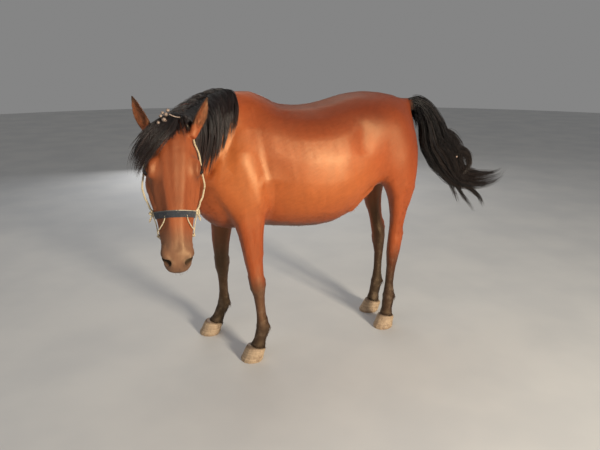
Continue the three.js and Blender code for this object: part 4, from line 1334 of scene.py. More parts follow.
def unit_rows(vectors):
    return vectors / np.maximum(np.linalg.norm(vectors, axis=-1, keepdims=True), 1e-9)


def eased(lines, rounds):
    """Lines (..., points, 3) whose inner points are drawn towards the middle of their neighbours."""
    for _ in range(rounds):
        lines[..., 1:-1, :] = (lines[..., :-2, :] + 2 * lines[..., 1:-1, :] + lines[..., 2:, :]) / 4
    return lines


def round_head(down, angle, lift, slant=0.0, shift=0.0):
    """A place over the skin of the head, in the head's frame, and the way out there."""
    a = math.radians(angle)
    way = np.array((slant * math.cos(a), math.sin(a), math.cos(a)))
    way /= np.linalg.norm(way)
    core = np.array((down, 0, np.interp(down, *np.array(CORE, float).T)))
    core += np.array((1, 0, -slant)) / math.hypot(1, slant) * shift
    start = Vector(face(*core))
    hit = skin_tree.ray_cast(start, (Vector(face(*(core + way))) - start).normalized())
    reach = hit[3] / MM if hit[0] is not None else 60
    return core, way, reach + lift


def route(rows, samples, radius):
    """A smooth line of places in the head's frame through rows of distance, angle and stand-off."""
    line, ways = [], []
    for t in np.linspace(0, 1, samples):
        down, angle, stand = on_rows(rows, t)
        core, way, reach = round_head(down, angle, stand + radius)
        line.append(core + way * reach)
        ways.append(way)
    return eased(np.array(line), 6), np.array(ways)


def length_of(line):
    return round(float(np.sum(np.linalg.norm(np.diff(line, axis=0), axis=1))))


def across_face(rows, middle):
    """A route on the left side, over or under the middle, and back along its mirror image."""
    round_back = 360 if middle[1] == 180 else 0
    return list(rows) + [middle] + [(down, round_back - angle, stand) for down, angle, stand in reversed(rows)]


def laid_rope(line, ways, radius, plies, pitch):
    """A twisted rope along a line in the head's frame: its plies wind round it."""
    length = np.concatenate([[0], np.cumsum(np.linalg.norm(np.diff(line, axis=0), axis=1))])
    along = unit_rows(np.gradient(line, axis=0))
    side = unit_rows(np.cross(along, ways))
    out = np.cross(side, along)
    ply = radius * (0.54 if plies == 3 else 0.6)
    meshes = []
    for k in range(plies):
        turn = 2 * math.pi * (length / pitch + k / plies)
        spots = line + (radius - ply) * (side * np.cos(turn)[:, None] + out * np.sin(turn)[:, None])
        meshes.append(tube(from_head(spots), ply * MM, sides=2))
    return meshes


def knot(line_end, scale):
    """A tied lump: a tube that follows a knotted loop round a place in the head's frame."""
    t = np.linspace(0, 2 * math.pi, 72, endpoint=False)
    loop = np.stack([np.sin(t) + 2 * np.sin(2 * t), np.cos(t) - 2 * np.cos(2 * t), -1.1 * np.sin(3 * t)], axis=1)
    return tube(from_head(np.asarray(line_end) + loop * scale), scale * 1.15 * MM, closed=True)


CROWN = [  # distance down the face, angle from its middle, stand-off
    (352, 92, 2), (322, 88, 9), (280, 84, 14), (236, 80, 13), (192, 77, 8), (150, 74, 5), (108, 70, 4), (62, 66, 3),
    (22, 52, 2), (0, 30, 2),
]  # fmt: skip
MOUTH_CORNER, CHEEK_KNOT = (452, 96, 3), (356, 94, 7)
MOUTH_CORD = [(388, 33, 2), (406, 42, 2), (424, 58, 3), (442, 80, 3), MOUTH_CORNER, (466, 130, 3), (474, 160, 3)]
SIDE_CORD = [CHEEK_KNOT, (386, 92, 6), (420, 93, 4), MOUTH_CORNER]

rope_finish, make, link = finish("rope", Specular_IOR_Level=0.25, Sheen_Weight=0.2)
place = place_of(make)
fibre, dirt = place.noise(900, 3), place.noise(60, 3, 0.6)
color = (fibre * 0.6 + dirt * 0.4).ramp(0.3, 0.7).tint(srgb(176, 158, 124), srgb(226, 211, 178))
color = dirt.ramp(0.58, 0.75).tint(color, srgb(140, 116, 88))
link(Base_Color=color, Roughness=0.72 + fibre * 0.2, Normal=bump(make, fibre, 0.0007, 0.8))


def halter_piece(name, meshes, *replaced):
    dress(add_object(name, merged(name, meshes)), rope_finish, "rope", *replaced)


crown_line, crown_ways = route(across_face(CROWN, (-4, 0, 2)), 520, ROPE / 2)
halter_piece("crown_rope", laid_rope(crown_line, crown_ways, ROPE / 2, 3, 24), "halter_crown_rope")
print("rope over the poll:", length_of(crown_line), "mm long,", ROPE, "mm thick")

cord_line, cord_ways = route(across_face(MOUTH_CORD, (476, 180, 3)), 300, CORD / 2)
cords = laid_rope(cord_line, cord_ways, CORD / 2, 2, 13)
print("cord under the chin:", length_of(cord_line), "mm long,", CORD, "mm thick")
for side in (1, -1):
    rows = [(down, side * angle, stand) for down, angle, stand in SIDE_CORD]
    cord_line, cord_ways = route(rows, 110, CORD / 2)
    cords += laid_rope(cord_line, cord_ways, CORD / 2, 2, 13)
    print("cord at the cheek:", length_of(cord_line), "mm long")
    core, way, reach = round_head(MOUTH_CORNER[0], side * MOUTH_CORNER[1], MOUTH_CORNER[2] + 2)
    cords.append(knot(core + way * reach, 1.9))
halter_piece("mouth_cords", cords, "halter_mouth_cord")
for name, side in (("left", 1), ("right", -1)):
    core, way, reach = round_head(CHEEK_KNOT[0], side * CHEEK_KNOT[1], CHEEK_KNOT[2] + 2)
    heart = core + way * reach
    ends = []
    for lean in (-0.5, 0.35):
        t = np.linspace(0, 1, 14)[:, None]
        end = heart + np.array((30, side * 4, lean * 26)) * t + np.array((0, side * 8, -6)) * t * t
        ends.append(tube(from_head(end), 3.1 * MM, radii=np.linspace(1, 0.75, 14)))
    halter_piece(f"knot_{name}", [knot(heart, 3.5), *ends], f"halter_knot_{name}")

# %% [markdown]
# The noseband is flat webbing. A grid is wrapped round the nose like a sleeve, pulled taut over the hollows,
# joined where its ends meet and thickened. Its own map, round and across, carries the weave, and a pale cord
# is sewn along its upper edge.

# %% Noseband
BAND_FRONT, BAND_SLANT, AROUND, ACROSS = 368, math.tan(math.radians(14)), 144, 6
bm = bmesh.new()
bm.loops.layers.uv.new("wrap")
bmesh.ops.create_grid(bm, x_segments=AROUND, y_segments=ACROSS, size=0.5, calc_uvs=True)
band = add_object("noseband", mesh_from(bm, "noseband"))
grid = get_co(band.data)
column = np.rint((grid[:, 0] + 0.5) * AROUND).astype(int) % AROUND
row = np.rint((grid[:, 1] + 0.5) * ACROSS).astype(int)
reach = np.zeros((AROUND, ACROSS + 1))
for i in range(AROUND):
    for j in range(ACROSS + 1):
        shift = (j / ACROSS - 0.5) * STRAP_WIDTH
        reach[i, j] = round_head(BAND_FRONT, 360 * i / AROUND, 1.2, BAND_SLANT, shift)[2]
taut = reach
for _ in range(30):
    taut = np.maximum((np.roll(taut, 1, 0) + np.roll(taut, -1, 0)) / 2, reach)
for _ in range(4):
    taut = (np.roll(taut, 1, 0) + 2 * taut + np.roll(taut, -1, 0)) / 4
spots = np.zeros((len(grid), 3))
for v, (i, j) in enumerate(zip(column, row)):
    core, way, _ = round_head(BAND_FRONT, 360 * i / AROUND, 0, BAND_SLANT, (j / ACROSS - 0.5) * STRAP_WIDTH)
    spots[v] = core + way * (taut[i, j] + 0.4)
set_co(band.data, from_head(spots))
middle_ring = spots[row == ACROSS // 2][np.argsort(column[row == ACROSS // 2])]
print("noseband:", length_of(np.vstack([middle_ring, middle_ring[:1]])), "x", STRAP_WIDTH, "mm flat")
bm = bmesh.new()
bm.from_mesh(band.data)
bmesh.ops.remove_doubles(bm, verts=bm.verts, dist=1e-5)
bmesh.ops.recalc_face_normals(bm, faces=bm.faces)
bm.to_mesh(band.data)
bm.free()
swap_mesh(band, with_modifiers(
    band,
    ("SOLIDIFY", {"thickness": STRAP_THICK * MM, "offset": 1.0}),
    ("BEVEL", {"width": 0.0007, "segments": 2, "limit_method": "ANGLE"}),
))  # fmt: skip
band.data.shade_smooth()
band_finish, make, link = finish("webbing", Specular_IOR_Level=0.3, Sheen_Weight=0.15)
uv = make.node("ShaderNodeUVMap", {"uv_map": "wrap"})
u, v, _ = uv.xyz()
warp = make.math("SINE", u * (2 * math.pi * 170))
weft = make.math("SINE", v * (2 * math.pi * 13))
weave = (warp * weft) * 0.5 + 0.5
edge = (1 - v).ramp(0.86, 0.94) * place_of(make).noise(60, 2).ramp(0.32, 0.5) * u.ramp(0.46, 0.5, 1, 0.25)
wear = place_of(make).noise(70, 4, 0.65)
color = weave.tint(srgb(34, 37, 42), srgb(62, 66, 74))
color = (wear.ramp(0.5, 0.75) * 0.55).tint(color, srgb(104, 98, 92))
color = (edge * 0.85).tint(color, srgb(206, 194, 168))
link(Base_Color=color, Roughness=0.62 + wear * 0.25, Normal=bump(make, weave * 0.7 + edge, 0.0009, 0.8))
dress(band, band_finish, "webbing", "halter_noseband")

# %% [markdown]
# ## Hair
# Mane, forelock and tail are thousands of strands, each a thin three-sided prism that narrows to its tip. They
# don't grow at random: a few hundred guide hairs set the flow, and the strands round each guide close in on
# it towards its tip, which makes locks. Each strand keeps a small patch of the colour map at its root.

# %% Strands as one mesh
PATCH = 0.003
rng = np.random.default_rng(11)


def resampled(paths, count, reach):
    """Paths (n, k, 3) with count points each, up to a part of their length."""
    n, k = paths.shape[:2]
    at = np.linspace(0, 1, count)[None, :] * reach[:, None] * (k - 1)
    low = np.minimum(at.astype(int), k - 2)
    part = (at - low)[..., None]
    rows = np.arange(n)[:, None]
    return paths[rows, low] * (1 - part) + paths[rows, low + 1] * part


def strand_mesh(name, paths, outs, width, thick, root, tip, spots):
    """Prisms along paths (n, k, 3). Widths and colours are one per strand, spots are places on the unwrap."""
    n, k = paths.shape[:2]
    along = unit_rows(np.gradient(paths, axis=1))
    sides = unit_rows(np.cross(along, outs))
    outs = np.cross(sides, along)
    s = np.linspace(0, 1, k)
    taper = (np.minimum(1, 0.5 + 3 * s) * (1 - s**2.5) ** 0.8 + 0.02)[None, :, None]
    across = sides * width[:, None, None] * taper / 2
    points = np.stack([paths - across, paths + across, paths + outs * thick[:, None, None] * taper], axis=2)
    base = np.arange(n)[:, None, None] * (k * 3)
    ring = np.arange(k - 1)[None, :, None] * 3
    edge = np.arange(3)[None, None, :]
    after = (edge + 1) % 3
    here = base + ring
    corners = np.stack([here + edge, here + 3 + edge, here + 3 + after, here + after], axis=-1)
    loops = corners.reshape(-1).astype(np.int32)
    mesh = bpy.data.meshes.new(name)
    mesh.vertices.add(n * k * 3)
    mesh.vertices.foreach_set("co", points.reshape(-1))
    mesh.loops.add(len(loops))
    mesh.loops.foreach_set("vertex_index", loops)
    mesh.polygons.add(len(loops) // 4)
    mesh.polygons.foreach_set("loop_start", np.arange(0, len(loops), 4, dtype=np.int32))
    mesh.update(calc_edges=True)
    uv_v = np.broadcast_to((ring / 3 / (k - 1))[..., None] + np.array([0, 1, 1, 0]) / (k - 1), (n, k - 1, 3, 4))
    uv_u = np.broadcast_to((edge[..., None] + np.array([0, 0, 1, 1])) / 3, (n, k - 1, 3, 4))
    uv = np.stack([uv_u, uv_v], axis=-1) * PATCH + (np.clip(spots, 0, 1) * (1 - PATCH))[:, None, None, None, :]
    mesh.uv_layers.new(name="OFBake").data.foreach_set("uv", uv.reshape(-1))
    shade = root[:, None, :] + (tip - root)[:, None, :] * (s**1.4)[None, :, None]
    set_color(mesh, np.repeat(shade.reshape(-1, 3), 3, axis=0))
    mesh.shade_smooth()
    return mesh


def lock_paths(guides, outs, per_lock, spread, depth, steps, sway=0.004, shortest=0.72, gather=0.72):
    """Strands round guides (g, k, 3): spread across and depth outwards at the root, gathering to the tip."""
    g = len(guides)
    guides = np.repeat(guides, per_lock, axis=0)
    outs = np.repeat(outs, per_lock, axis=0)
    n = g * per_lock
    reach = rng.uniform(shortest, 1, n)
    guides, outs = resampled(guides, steps, reach), unit_rows(resampled(outs, steps, reach))
    along = unit_rows(np.gradient(guides, axis=1))
    sides = unit_rows(np.cross(along, outs))
    s = np.linspace(0, 1, steps)[None, :, None]
    close = 1 - gather * (s * reach[:, None, None]) ** 1.3
    a = rng.uniform(-1, 1, (n, 1, 1)) * spread * close
    b = rng.uniform(0, 1, (n, 1, 1)) ** 1.3 * depth * close
    wave = rng.uniform(0, 2 * math.pi, (2, n, 1, 1))
    beat = rng.uniform(0.5, 1.6, (2, n, 1, 1))
    waves = sway * s * np.sin(2 * math.pi * beat * s + wave)
    return guides + sides * (a + waves[0]) + outs * (b + 0.6 * waves[1]), outs


def hair_finish(name, rough):
    material, make, link = finish(name, Specular_IOR_Level=0.5)
    place = place_of(make)
    dust = place.noise(14, 4, 0.65)
    fine = place.noise(420, 2)
    color = (dust.ramp(0.55, 0.8) * 0.12).tint(painted(make, "tint", 0), srgb(96, 80, 68))
    link(Base_Color=color, Roughness=rough + fine * 0.16 + dust * 0.1, Normal=bump(make, fine, 0.0006, 0.4))
    return material


mane_finish = hair_finish("long_hair", 0.26)
HAIR_ROOT, HAIR_TIP = srgb(16, 12, 14), srgb(48, 35, 32)
print("each strand keeps", PATCH, "of the colour map's width")

# %% [markdown]
# To colour the hair later, every strand needs a place on a flat layout of the skin. The skin is laid out like a
# pattern for a soft toy: the head, the neck, the trunk and each leg become sleeves, cut open and laid flat.

# %% An unwrap of the skin
DOWN = np.array((0.0, 0.0, -1.0))
NECK_STEPS = np.linspace(0, 1, 40)
neck_middle = np.array([on_neck(t, 0.5, 0) for t in NECK_STEPS])
neck_up = unit_rows(np.array([on_neck(t, 0, 0) - on_neck(t, 1, 0) for t in NECK_STEPS]))
neck_out = unit_rows(np.array([on_neck(t, 0.5, 1) - on_neck(t, 0.5, -1) for t in NECK_STEPS]))
neck_ahead = unit_rows(np.gradient(neck_middle, axis=0))


def neck_spot(place):
    """For places in the body's frame: the nearest step along the neck."""
    best, far = np.zeros(len(place), int), np.full(len(place), np.inf)
    for i, middle in enumerate(neck_middle):
        away = np.sum((place - middle) ** 2, axis=1)
        nearer = away < far
        best[nearer], far[nearer] = i, away[nearer]
    return best


def to_model_axes(vectors):
    return vectors @ np.array(head_axes).T


def unwrapped(co):
    """Places on a flat layout of the skin: the head, the neck, the trunk and each leg as a sleeve of its own."""
    place, local = in_body(co), in_head(co)
    x, y, z = place.T
    turn = lambda a, b: np.arctan2(a, b) / (2 * math.pi) + 0.5
    spots = np.stack([0.34 + 0.64 * turn(y, z - 1050), 0.02 + 0.56 * (x + 700) / 1400], axis=1)
    step = neck_spot(place)
    away = place - neck_middle[step]
    neck = (np.sum(away**2, axis=1) < 300**2) & ((y < -70) | (x < -560)) & (z > 860)
    a, b = np.sum(away * neck_out[step], axis=1), np.sum(away * neck_up[step], axis=1)
    along = NECK_STEPS[step] + np.sum(away * neck_ahead[step], axis=1) / 900
    spots[neck] = np.stack([0.01 + 0.31 * turn(a, b), 0.50 + 0.46 * along], axis=1)[neck]
    head = near_line(local, HEAD_MIDLINE, 175, 176) > 0.5
    down, side, front = local.T
    spots[head] = np.stack([0.01 + 0.31 * turn(side, front + 90), 0.02 + 0.44 * (down + 160) / 780], axis=1)[head]
    _, middle, ahead = leg_spot(place)
    leg = z < 760
    shift = 0.34 + 0.165 * ((x > 0) * 2 + (y > 0))
    round_leg = turn(np.abs(y) - middle, ahead)
    spots[leg] = np.stack([shift + 0.155 * round_leg, 0.61 + 0.37 * z / 760], axis=1)[leg]
    return np.clip(spots, 0, 1)


print("on the layout, the left fore hoof lies at", np.round(unwrapped(np.array([body(-390, -196, 60)])), 2))

# %% [markdown]
# The mane grows from the crest and falls over the left side of the neck. Each guide is walked step by step from
# its root: it bends down a little more at every step, and the skin pushes it out where it would go inside.

# %% Mane
MANE_FALL = [(0, 250), (0.14, 350), (0.28, 418), (0.43, 430), (0.57, 385), (0.71, 320), (0.86, 250), (1, 180)]


def walk(root, heading, length, lift, steps=22, weight=0.30, hang=(-0.3, 0, -1.0)):
    """A guide hair from a root in metres, bending towards where it hangs and kept off the skin by up to lift."""
    step = length / steps
    spots, outs = [np.array(root)], []
    heading = np.array(heading) / np.linalg.norm(heading)
    for i in range(steps):
        heading = heading + np.array(hang) * weight
        heading /= np.linalg.norm(heading)
        spot = spots[-1] + heading * step
        near, normal, _, _ = skin_tree.find_nearest(Vector(spot))
        near, normal = np.array(near), np.array(normal)
        clear = (spot - near) @ normal
        wanted = lift * min(1, (i + 1) / 4)
        if clear < wanted:
            spot = spot + normal * (wanted - clear)
        heading = spot - spots[-1]
        heading /= np.linalg.norm(heading)
        spots.append(spot)
        outs.append(normal)
    return np.array(spots), np.array([outs[0], *outs])


def mane_guides(count, lifts, falls, sideways, over):
    """Guides from the crest: how far off the skin, how much of the fall, and how far sideways they go."""
    guides, outs = [], []
    for i in range(count):
        part = np.clip(0.055 + (0.93 if over > 0 else 0.80) * (i + rng.uniform(0, 1)) / count, 0, 0.995)
        crest = on_neck(part, 0, 0)
        left = unit_rows(on_neck(part, 0.5, -1) - on_neck(part, 0.5, 1))
        along = unit_rows(on_neck(min(part + 0.03, 1), 0, 0) - on_neck(max(part - 0.03, 0), 0, 0))
        start = crest + left * rng.uniform(-16, 16) * over + DOWN * -6
        near, normal = skin_tree.find_nearest(body(*start))[:2]
        fall = np.interp(part, *np.array(MANE_FALL, float).T) * rng.uniform(*falls)
        heading = np.array(normal) * 0.7 + left * 0.8 * over + along * rng.uniform(-sideways, sideways)
        path, out = walk(np.array(near), heading, fall * MM, rng.uniform(*lifts) * MM)
        guides.append(path)
        outs.append(out)
    return np.array(guides), np.array(outs)


def long_hair(name, guides, outs, locks, width, root, tip, replaced=(), brightest=1.6, **more):
    """A piece of locks, given as strands to a guide, spread, depth and steps, with its colours at root and tip."""
    paths, outs = lock_paths(guides, outs, *locks, **more)
    n = len(paths)
    shade = rng.uniform(0.6, 1.4, (n, 1))
    shade = shade * np.repeat(rng.uniform(0.35, brightest, (len(guides), 1)), locks[0], axis=0)
    wide = rng.uniform(0.6, 1.2, n) * width
    mesh = strand_mesh(name, paths, outs, wide, wide * 0.4, root * shade, tip * shade, unwrapped(paths[:, 0]))
    dress(add_object(name, mesh), mane_finish, "hair", *replaced)


def mane_piece(name, count, lifts, falls, sideways, locks, width, replaced=(), over=1):
    guides, outs = mane_guides(count, lifts, falls, sideways, over)
    long_hair(name, eased(guides, 3), outs, locks, width, HAIR_ROOT * 1.1, HAIR_TIP * 1.2, replaced, 1.7)


mane_piece("mane_under", 170, (3, 9), (0.72, 1.0), 0.25, (16, 0.011, 0.004, 10), 0.0038, ("mane",))
mane_piece("mane_over", 190, (9, 20), (0.62, 1.04), 0.40, (15, 0.008, 0.005, 11), 0.0024)
mane_piece("mane_crest", 70, (4, 12), (0.14, 0.3), 0.5, (12, 0.012, 0.006, 7), 0.0026, over=-1)

# %% [markdown]
# The forelock springs from the poll between the ears and is swept over the forehead to the horse's right. Its
# guides run through a bundle whose middle line, width and thickness change along the way. Shorter, rougher
# hair stands round its root.

# %% Forelock
FORELOCK = [  # middle line in the head's frame, half width, half thickness
    (-12, 4, 12, 16, 10), (20, -6, 26, 30, 15), (60, -38, 34, 42, 17), (105, -78, 30, 44, 18),
    (150, -112, 10, 38, 19), (195, -134, -18, 30, 16), (238, -144, -42, 16, 8),
]  # fmt: skip
GUIDE_STEPS, SHORT_GUIDES = 26, 60


def bundle_guides(rows, count, toward, steps=GUIDE_STEPS, start=(0, 0.04), reach=(0.7, 1.0), edge=1.0):
    """Guides through a bundle: rows of x, y, z, half width, half thickness. Toward is the side that its
    thickness faces. Each guide keeps its place in the bundle's section."""
    guides, outs = [], []
    for _ in range(count):
        angle, ring = rng.uniform(0, 2 * math.pi), rng.uniform(0, 1) ** 0.5 * edge
        a, b = ring * math.cos(angle), ring * math.sin(angle)
        begin, end = rng.uniform(*start), rng.uniform(*reach)
        line = np.array([on_rows(rows, begin + (end - begin) * t) for t in np.linspace(0, 1, steps)])
        ahead = unit_rows(np.gradient(line[:, :3], axis=0))
        out = unit_rows(toward - ahead * (ahead @ toward)[:, None])
        across = np.cross(ahead, out)
        spots = line[:, :3] + across * (a * line[:, 3])[:, None] + out * (b * line[:, 4])[:, None]
        guides.append(spots)
        outs.append(out * np.sign(b + 0.35) if b < -0.35 else out)
    return np.array(guides), np.array(outs)


guides, outs = bundle_guides(FORELOCK, 120, np.array((0, -0.45, 0.9)), start=(0, 0.12), reach=(0.55, 1.0))
loose = np.linspace(0, 1, GUIDE_STEPS)[None, :, None] ** 1.6
spread = rng.normal(size=(len(guides), 1, 3)) * np.where(rng.uniform(size=(len(guides), 1, 1)) < 0.25, 26, 9)
guides = guides + loose * spread * (0.6, 0.8, 0.5)
extra = []
for _ in range(SHORT_GUIDES):  # short hair round the root
    spot = np.array((rng.uniform(-26, 36), rng.uniform(-34, 32), 0.0))
    root = np.array(skin_tree.find_nearest(face(spot[0], spot[1], 30))[0])
    local = in_head(root[None])[0]
    sway = np.array((rng.uniform(30, 90), rng.uniform(-80, 10), rng.uniform(8, 34)))
    t = np.linspace(0, 1, GUIDE_STEPS)[:, None]
    extra.append(local + sway * t + np.array((0, 0, 26)) * (t - t * t) * 2)
guides = np.concatenate([guides, np.array(extra)])
guides = from_head(guides.reshape(-1, 3)).reshape(guides.shape)
outs = to_model_axes(np.concatenate([outs, np.tile((0.0, 0.0, 1.0), (SHORT_GUIDES, GUIDE_STEPS, 1))]))
locks = (14, 0.008, 0.006, 10)
long_hair("forelock_hair", guides, outs, locks, 0.0024, HAIR_ROOT, HAIR_TIP, ("forelock",), shortest=0.6)

# %% [markdown]
# The wind and a swing carry the tail away behind the horse. Its hair grows all along the dock, falls in a
# broad sheet, turns up at the end, and sheds a few loose wisps. One lock at the back of the bend curls forwards.

# %% Tail
TAIL = [  # middle line in the body's frame, half height, half thickness
    (600, 0, 1330, 24, 30), (650, 0, 1338, 30, 34), (690, 1, 1328, 40, 44), (752, 4, 1276, 55, 56),
    (800, 8, 1192, 80, 64), (838, 14, 1106, 104, 68), (905, 22, 1047, 130, 66), (962, 28, 978, 126, 60),
    (1004, 32, 908, 96, 54), (1066, 35, 862, 82, 48), (1180, 38, 836, 68, 42), (1292, 40, 832, 60, 34),
    (1375, 41, 852, 46, 22), (1440, 42, 905, 10, 8),
]  # fmt: skip
TAIL_WISPS = [
    [(840, 16, 1080, 30, 20), (900, 20, 960, 18, 12), (970, 24, 850, 12, 8), (1030, 27, 740, 7, 6),
     (1082, 30, 640, 2, 2)],
    [(860, 18, 1060, 30, 20), (930, 22, 930, 18, 12), (1030, 27, 810, 12, 8), (1120, 31, 700, 7, 5),
     (1212, 36, 604, 2, 2)],
    [(1040, 30, 850, 24, 20), (1120, 34, 790, 12, 9), (1200, 38, 735, 8, 6), (1250, 40, 680, 5, 4),
     (1272, 42, 626, 2, 2)],
]  # fmt: skip
TAIL_CURL = [
    (820, -6, 1200, 46, 26), (880, -10, 1110, 44, 24), (955, -12, 1052, 34, 20), (1030, -12, 1032, 24, 15),
    (1078, -10, 990, 16, 11), (1084, -8, 934, 11, 8), (1056, -6, 892, 6, 5), (1022, -6, 884, 2, 2),
]  # fmt: skip
TO_LEFT, TAIL_LIGHT = np.array((0.0, -1.0, 0.0)), srgb(88, 72, 60)


def tail_piece(name, groups, locks, width, replaced=()):
    """Hair from several bundles, each with the number of its guides and how light its tips are."""
    guides, outs, light = [], [], []
    for rows, count, start, reach, edge, bright in groups:
        made, facing = bundle_guides(rows, count, TO_LEFT, steps=40, start=start, reach=reach, edge=edge)
        guides.append(made)
        outs.append(facing)
        light += [bright] * count
    guides = np.concatenate(guides) * MM + np.array(ORIGIN)
    light = np.repeat(light, locks[0])[:, None]
    tip = HAIR_TIP * 0.4 * (1 - light) + TAIL_LIGHT * light
    root = HAIR_ROOT * 0.8
    long_hair(name, guides, np.concatenate(outs), locks, width, root, tip, replaced, sway=0.010, shortest=0.62)


inner = [(TAIL, 120, (0.02, 0.30), (0.62, 1.0), 0.8, 0.05)]
outer = [(TAIL, 96, (0.02, 0.34), (0.55, 1.0), 1.0, 0.2), (TAIL_CURL, 20, (0, 0.2), (0.7, 1.0), 1.0, 0.35)]
outer += [(wisp, 5, (0, 0.1), (0.75, 1.0), 0.8, 0.15) for wisp in TAIL_WISPS]
tail_piece("tail_inner", inner, (14, 0.014, 0.010, 12), 0.0040, ("tail_hair",))
tail_piece("tail_outer", outer, (16, 0.011, 0.010, 14), 0.0026)

# %% [markdown]
# ## Short hair
# The finish draws the flat coat. What it can't do is break the outline, so solid tufts lie over the skin:
# small and close on the face, longer along belly, throat and thighs, and longest at the fetlocks, inside the
# ears and on the chin. They point the way that the hair lies, and their colour is the skin's at their root.

# %% Where tufts stand and how they lie
tri = triangles_of(skin.data)
skin_co, skin_normals = get_co(skin.data), get_normals(skin.data)
corner = skin_co[tri]
tri_area = np.linalg.norm(np.cross(corner[:, 1] - corner[:, 0], corner[:, 2] - corner[:, 0]), axis=1) / 2
tri_middle = corner.mean(axis=1)
tri_place, (tri_local, tri_side) = in_body(tri_middle), left_of_head(tri_middle)
tri_head = near_line(tri_local, HEAD_MIDLINE, 150, 235)
tri_ear = on_ear(tri_local)
tri_normal = unit_rows(skin_normals[tri].mean(axis=1))
tri_eye = 1 - smooth_step(np.linalg.norm(tri_local - EYE, axis=1), 22, 30)
tri_lips = 0.9 * nearness(tri_local, MOUTH, 14)
tri_bare = np.maximum.reduce([nearness(tri_local, NOSTRIL, 26), tri_lips, tri_eye]) > 0.05


def lie_of_hair(co):
    """The way the hair points, before it is laid along the skin."""
    place, local = in_body(co), in_head(co)
    x, _, z = place.T
    way = np.tile((0.88, 0.0, -0.42), (len(co), 1))
    neck = (1 - smooth_step(x, -640, -420)) * (z > 860)
    step = neck_spot(place)
    way += (neck_ahead[step] * -0.7 + (0, 0, -0.8) - way) * neck[:, None]
    way += ((0.15, 0, -1.0) - way) * (1 - smooth_step(z, 640, 900))[:, None]
    way[:, 1] += 0.12 * np.sin(x / 90) + 0.08 * np.sin(z / 60)
    head = near_line(local, HEAD_MIDLINE, 165, 215)[:, None]
    down = np.where(local[:, 0:1] < 170, -0.5, 1.0)
    face_way = np.concatenate([down, 0.35 * np.sign(local[:, 1:2]), -0.25 + 0 * down], axis=1)
    way += (to_model_axes(face_way) - way) * head
    folded, side = left_of_head(co)
    ear_way = to_model_axes(unfolded(ear_along, side))
    return unit_rows(way + (ear_way - way) * on_ear(folded)[:, None])


def scatter(density, count):
    """Roots on the skin, denser where the density per triangle is high: places and normals."""
    chance = np.cumsum(tri_area * density)
    chosen = np.searchsorted(chance, rng.uniform(0, chance[-1], count))
    share = rng.dirichlet((1, 1, 1), count)[:, :, None]
    spots = (corner[chosen] * share).sum(axis=1)
    return spots, unit_rows((skin_normals[tri[chosen]] * share).sum(axis=1))


def tuft_piece(
    name, density, count, length, width, rise, steps=3, material=None, droop=0.0, stray=0.25, color=None
):  # fmt: skip
    """Tufts that leave the skin, lie along the hair's way and come back towards the skin at their tip."""
    roots, normals = scatter(density, count)
    way = lie_of_hair(roots) + rng.normal(0, stray, (count, 3)) + DOWN * droop
    way = unit_rows(way - normals * np.sum(way * normals, axis=1, keepdims=True))
    size = (rng.uniform(0.65, 1.25, count) * length)[:, None, None]
    t = np.linspace(0, 1, steps)[None, :, None]
    lift = rng.uniform(0.6, 1.4, (count, 1, 1)) * rise
    arch = 1.5 * t - 0.9 * t * t - 0.1
    paths = roots[:, None] + way[:, None] * t * size + normals[:, None] * lift * arch
    if droop:
        paths = paths + DOWN * (t**2 * size * droop * 0.5)
    if steps == 2:  # flat hair: its tip comes back to the skin
        for i, tip in enumerate(paths[:, 1]):
            near, normal = skin_tree.find_nearest(tip)[:2]
            paths[i, 1] = near + normal * (rise * 0.35)
    outs = np.broadcast_to(normals[:, None], paths.shape)
    tint = coat_color(roots) if color is None else np.tile(color, (count, 1))
    shade = rng.uniform(0.92, 1.08, (count, 1))
    wide = rng.uniform(0.7, 1.3, count) * width
    thick = wide * (0.12 if steps < 4 else 0.3)
    root, tip = tint * shade * 0.97, tint * shade * 1.02
    mesh = strand_mesh(name, paths, outs, wide, thick, root, tip, unwrapped(roots))
    if steps < 5:  # short hair shades like the skin that it lies on
        mesh.normals_split_custom_set_from_vertices(np.repeat(normals, steps * 3, axis=0))
    on_head = near_line(left_of_head(roots)[0], HEAD_MIDLINE, 150, 230)
    set_value(mesh, np.repeat(on_head, steps * 3), "on_head")
    dress(add_object(name, mesh), material or tuft_finish, "coat")


tuft_finish = coat_finish("coat_tufts")
x, y, z = tri_place.T
flat_coat = (~tri_bare) * (1 - tri_head) * (z > 84)
tuft_piece("coat_body_left", flat_coat * (y < 0) * (z > 480), 27000, 0.019, 0.0030, 0.0014, steps=2)
tuft_piece("coat_body_right", flat_coat * (y >= 0) * (z > 480), 25000, 0.019, 0.0030, 0.0014, steps=2)
tuft_piece("coat_legs", flat_coat * (z <= 480), 13000, 0.011, 0.0022, 0.0012, steps=2)
face_coat = (~tri_bare) * tri_head * (1 - tri_ear)
before_lips = 1 - 0.6 * smooth_step(tri_local[:, 0], 480, 560)
tuft_piece("coat_head", face_coat * before_lips, 22500, 0.0070, 0.0015, 0.0007, steps=2)

# %% [markdown]
# Where a horse's coat is longest, it breaks the outline: along the belly, breast, thigh and throat, at the
# fetlocks and coronets, inside the ears and on the chin. The same function grows it, denser, longer and hanging.

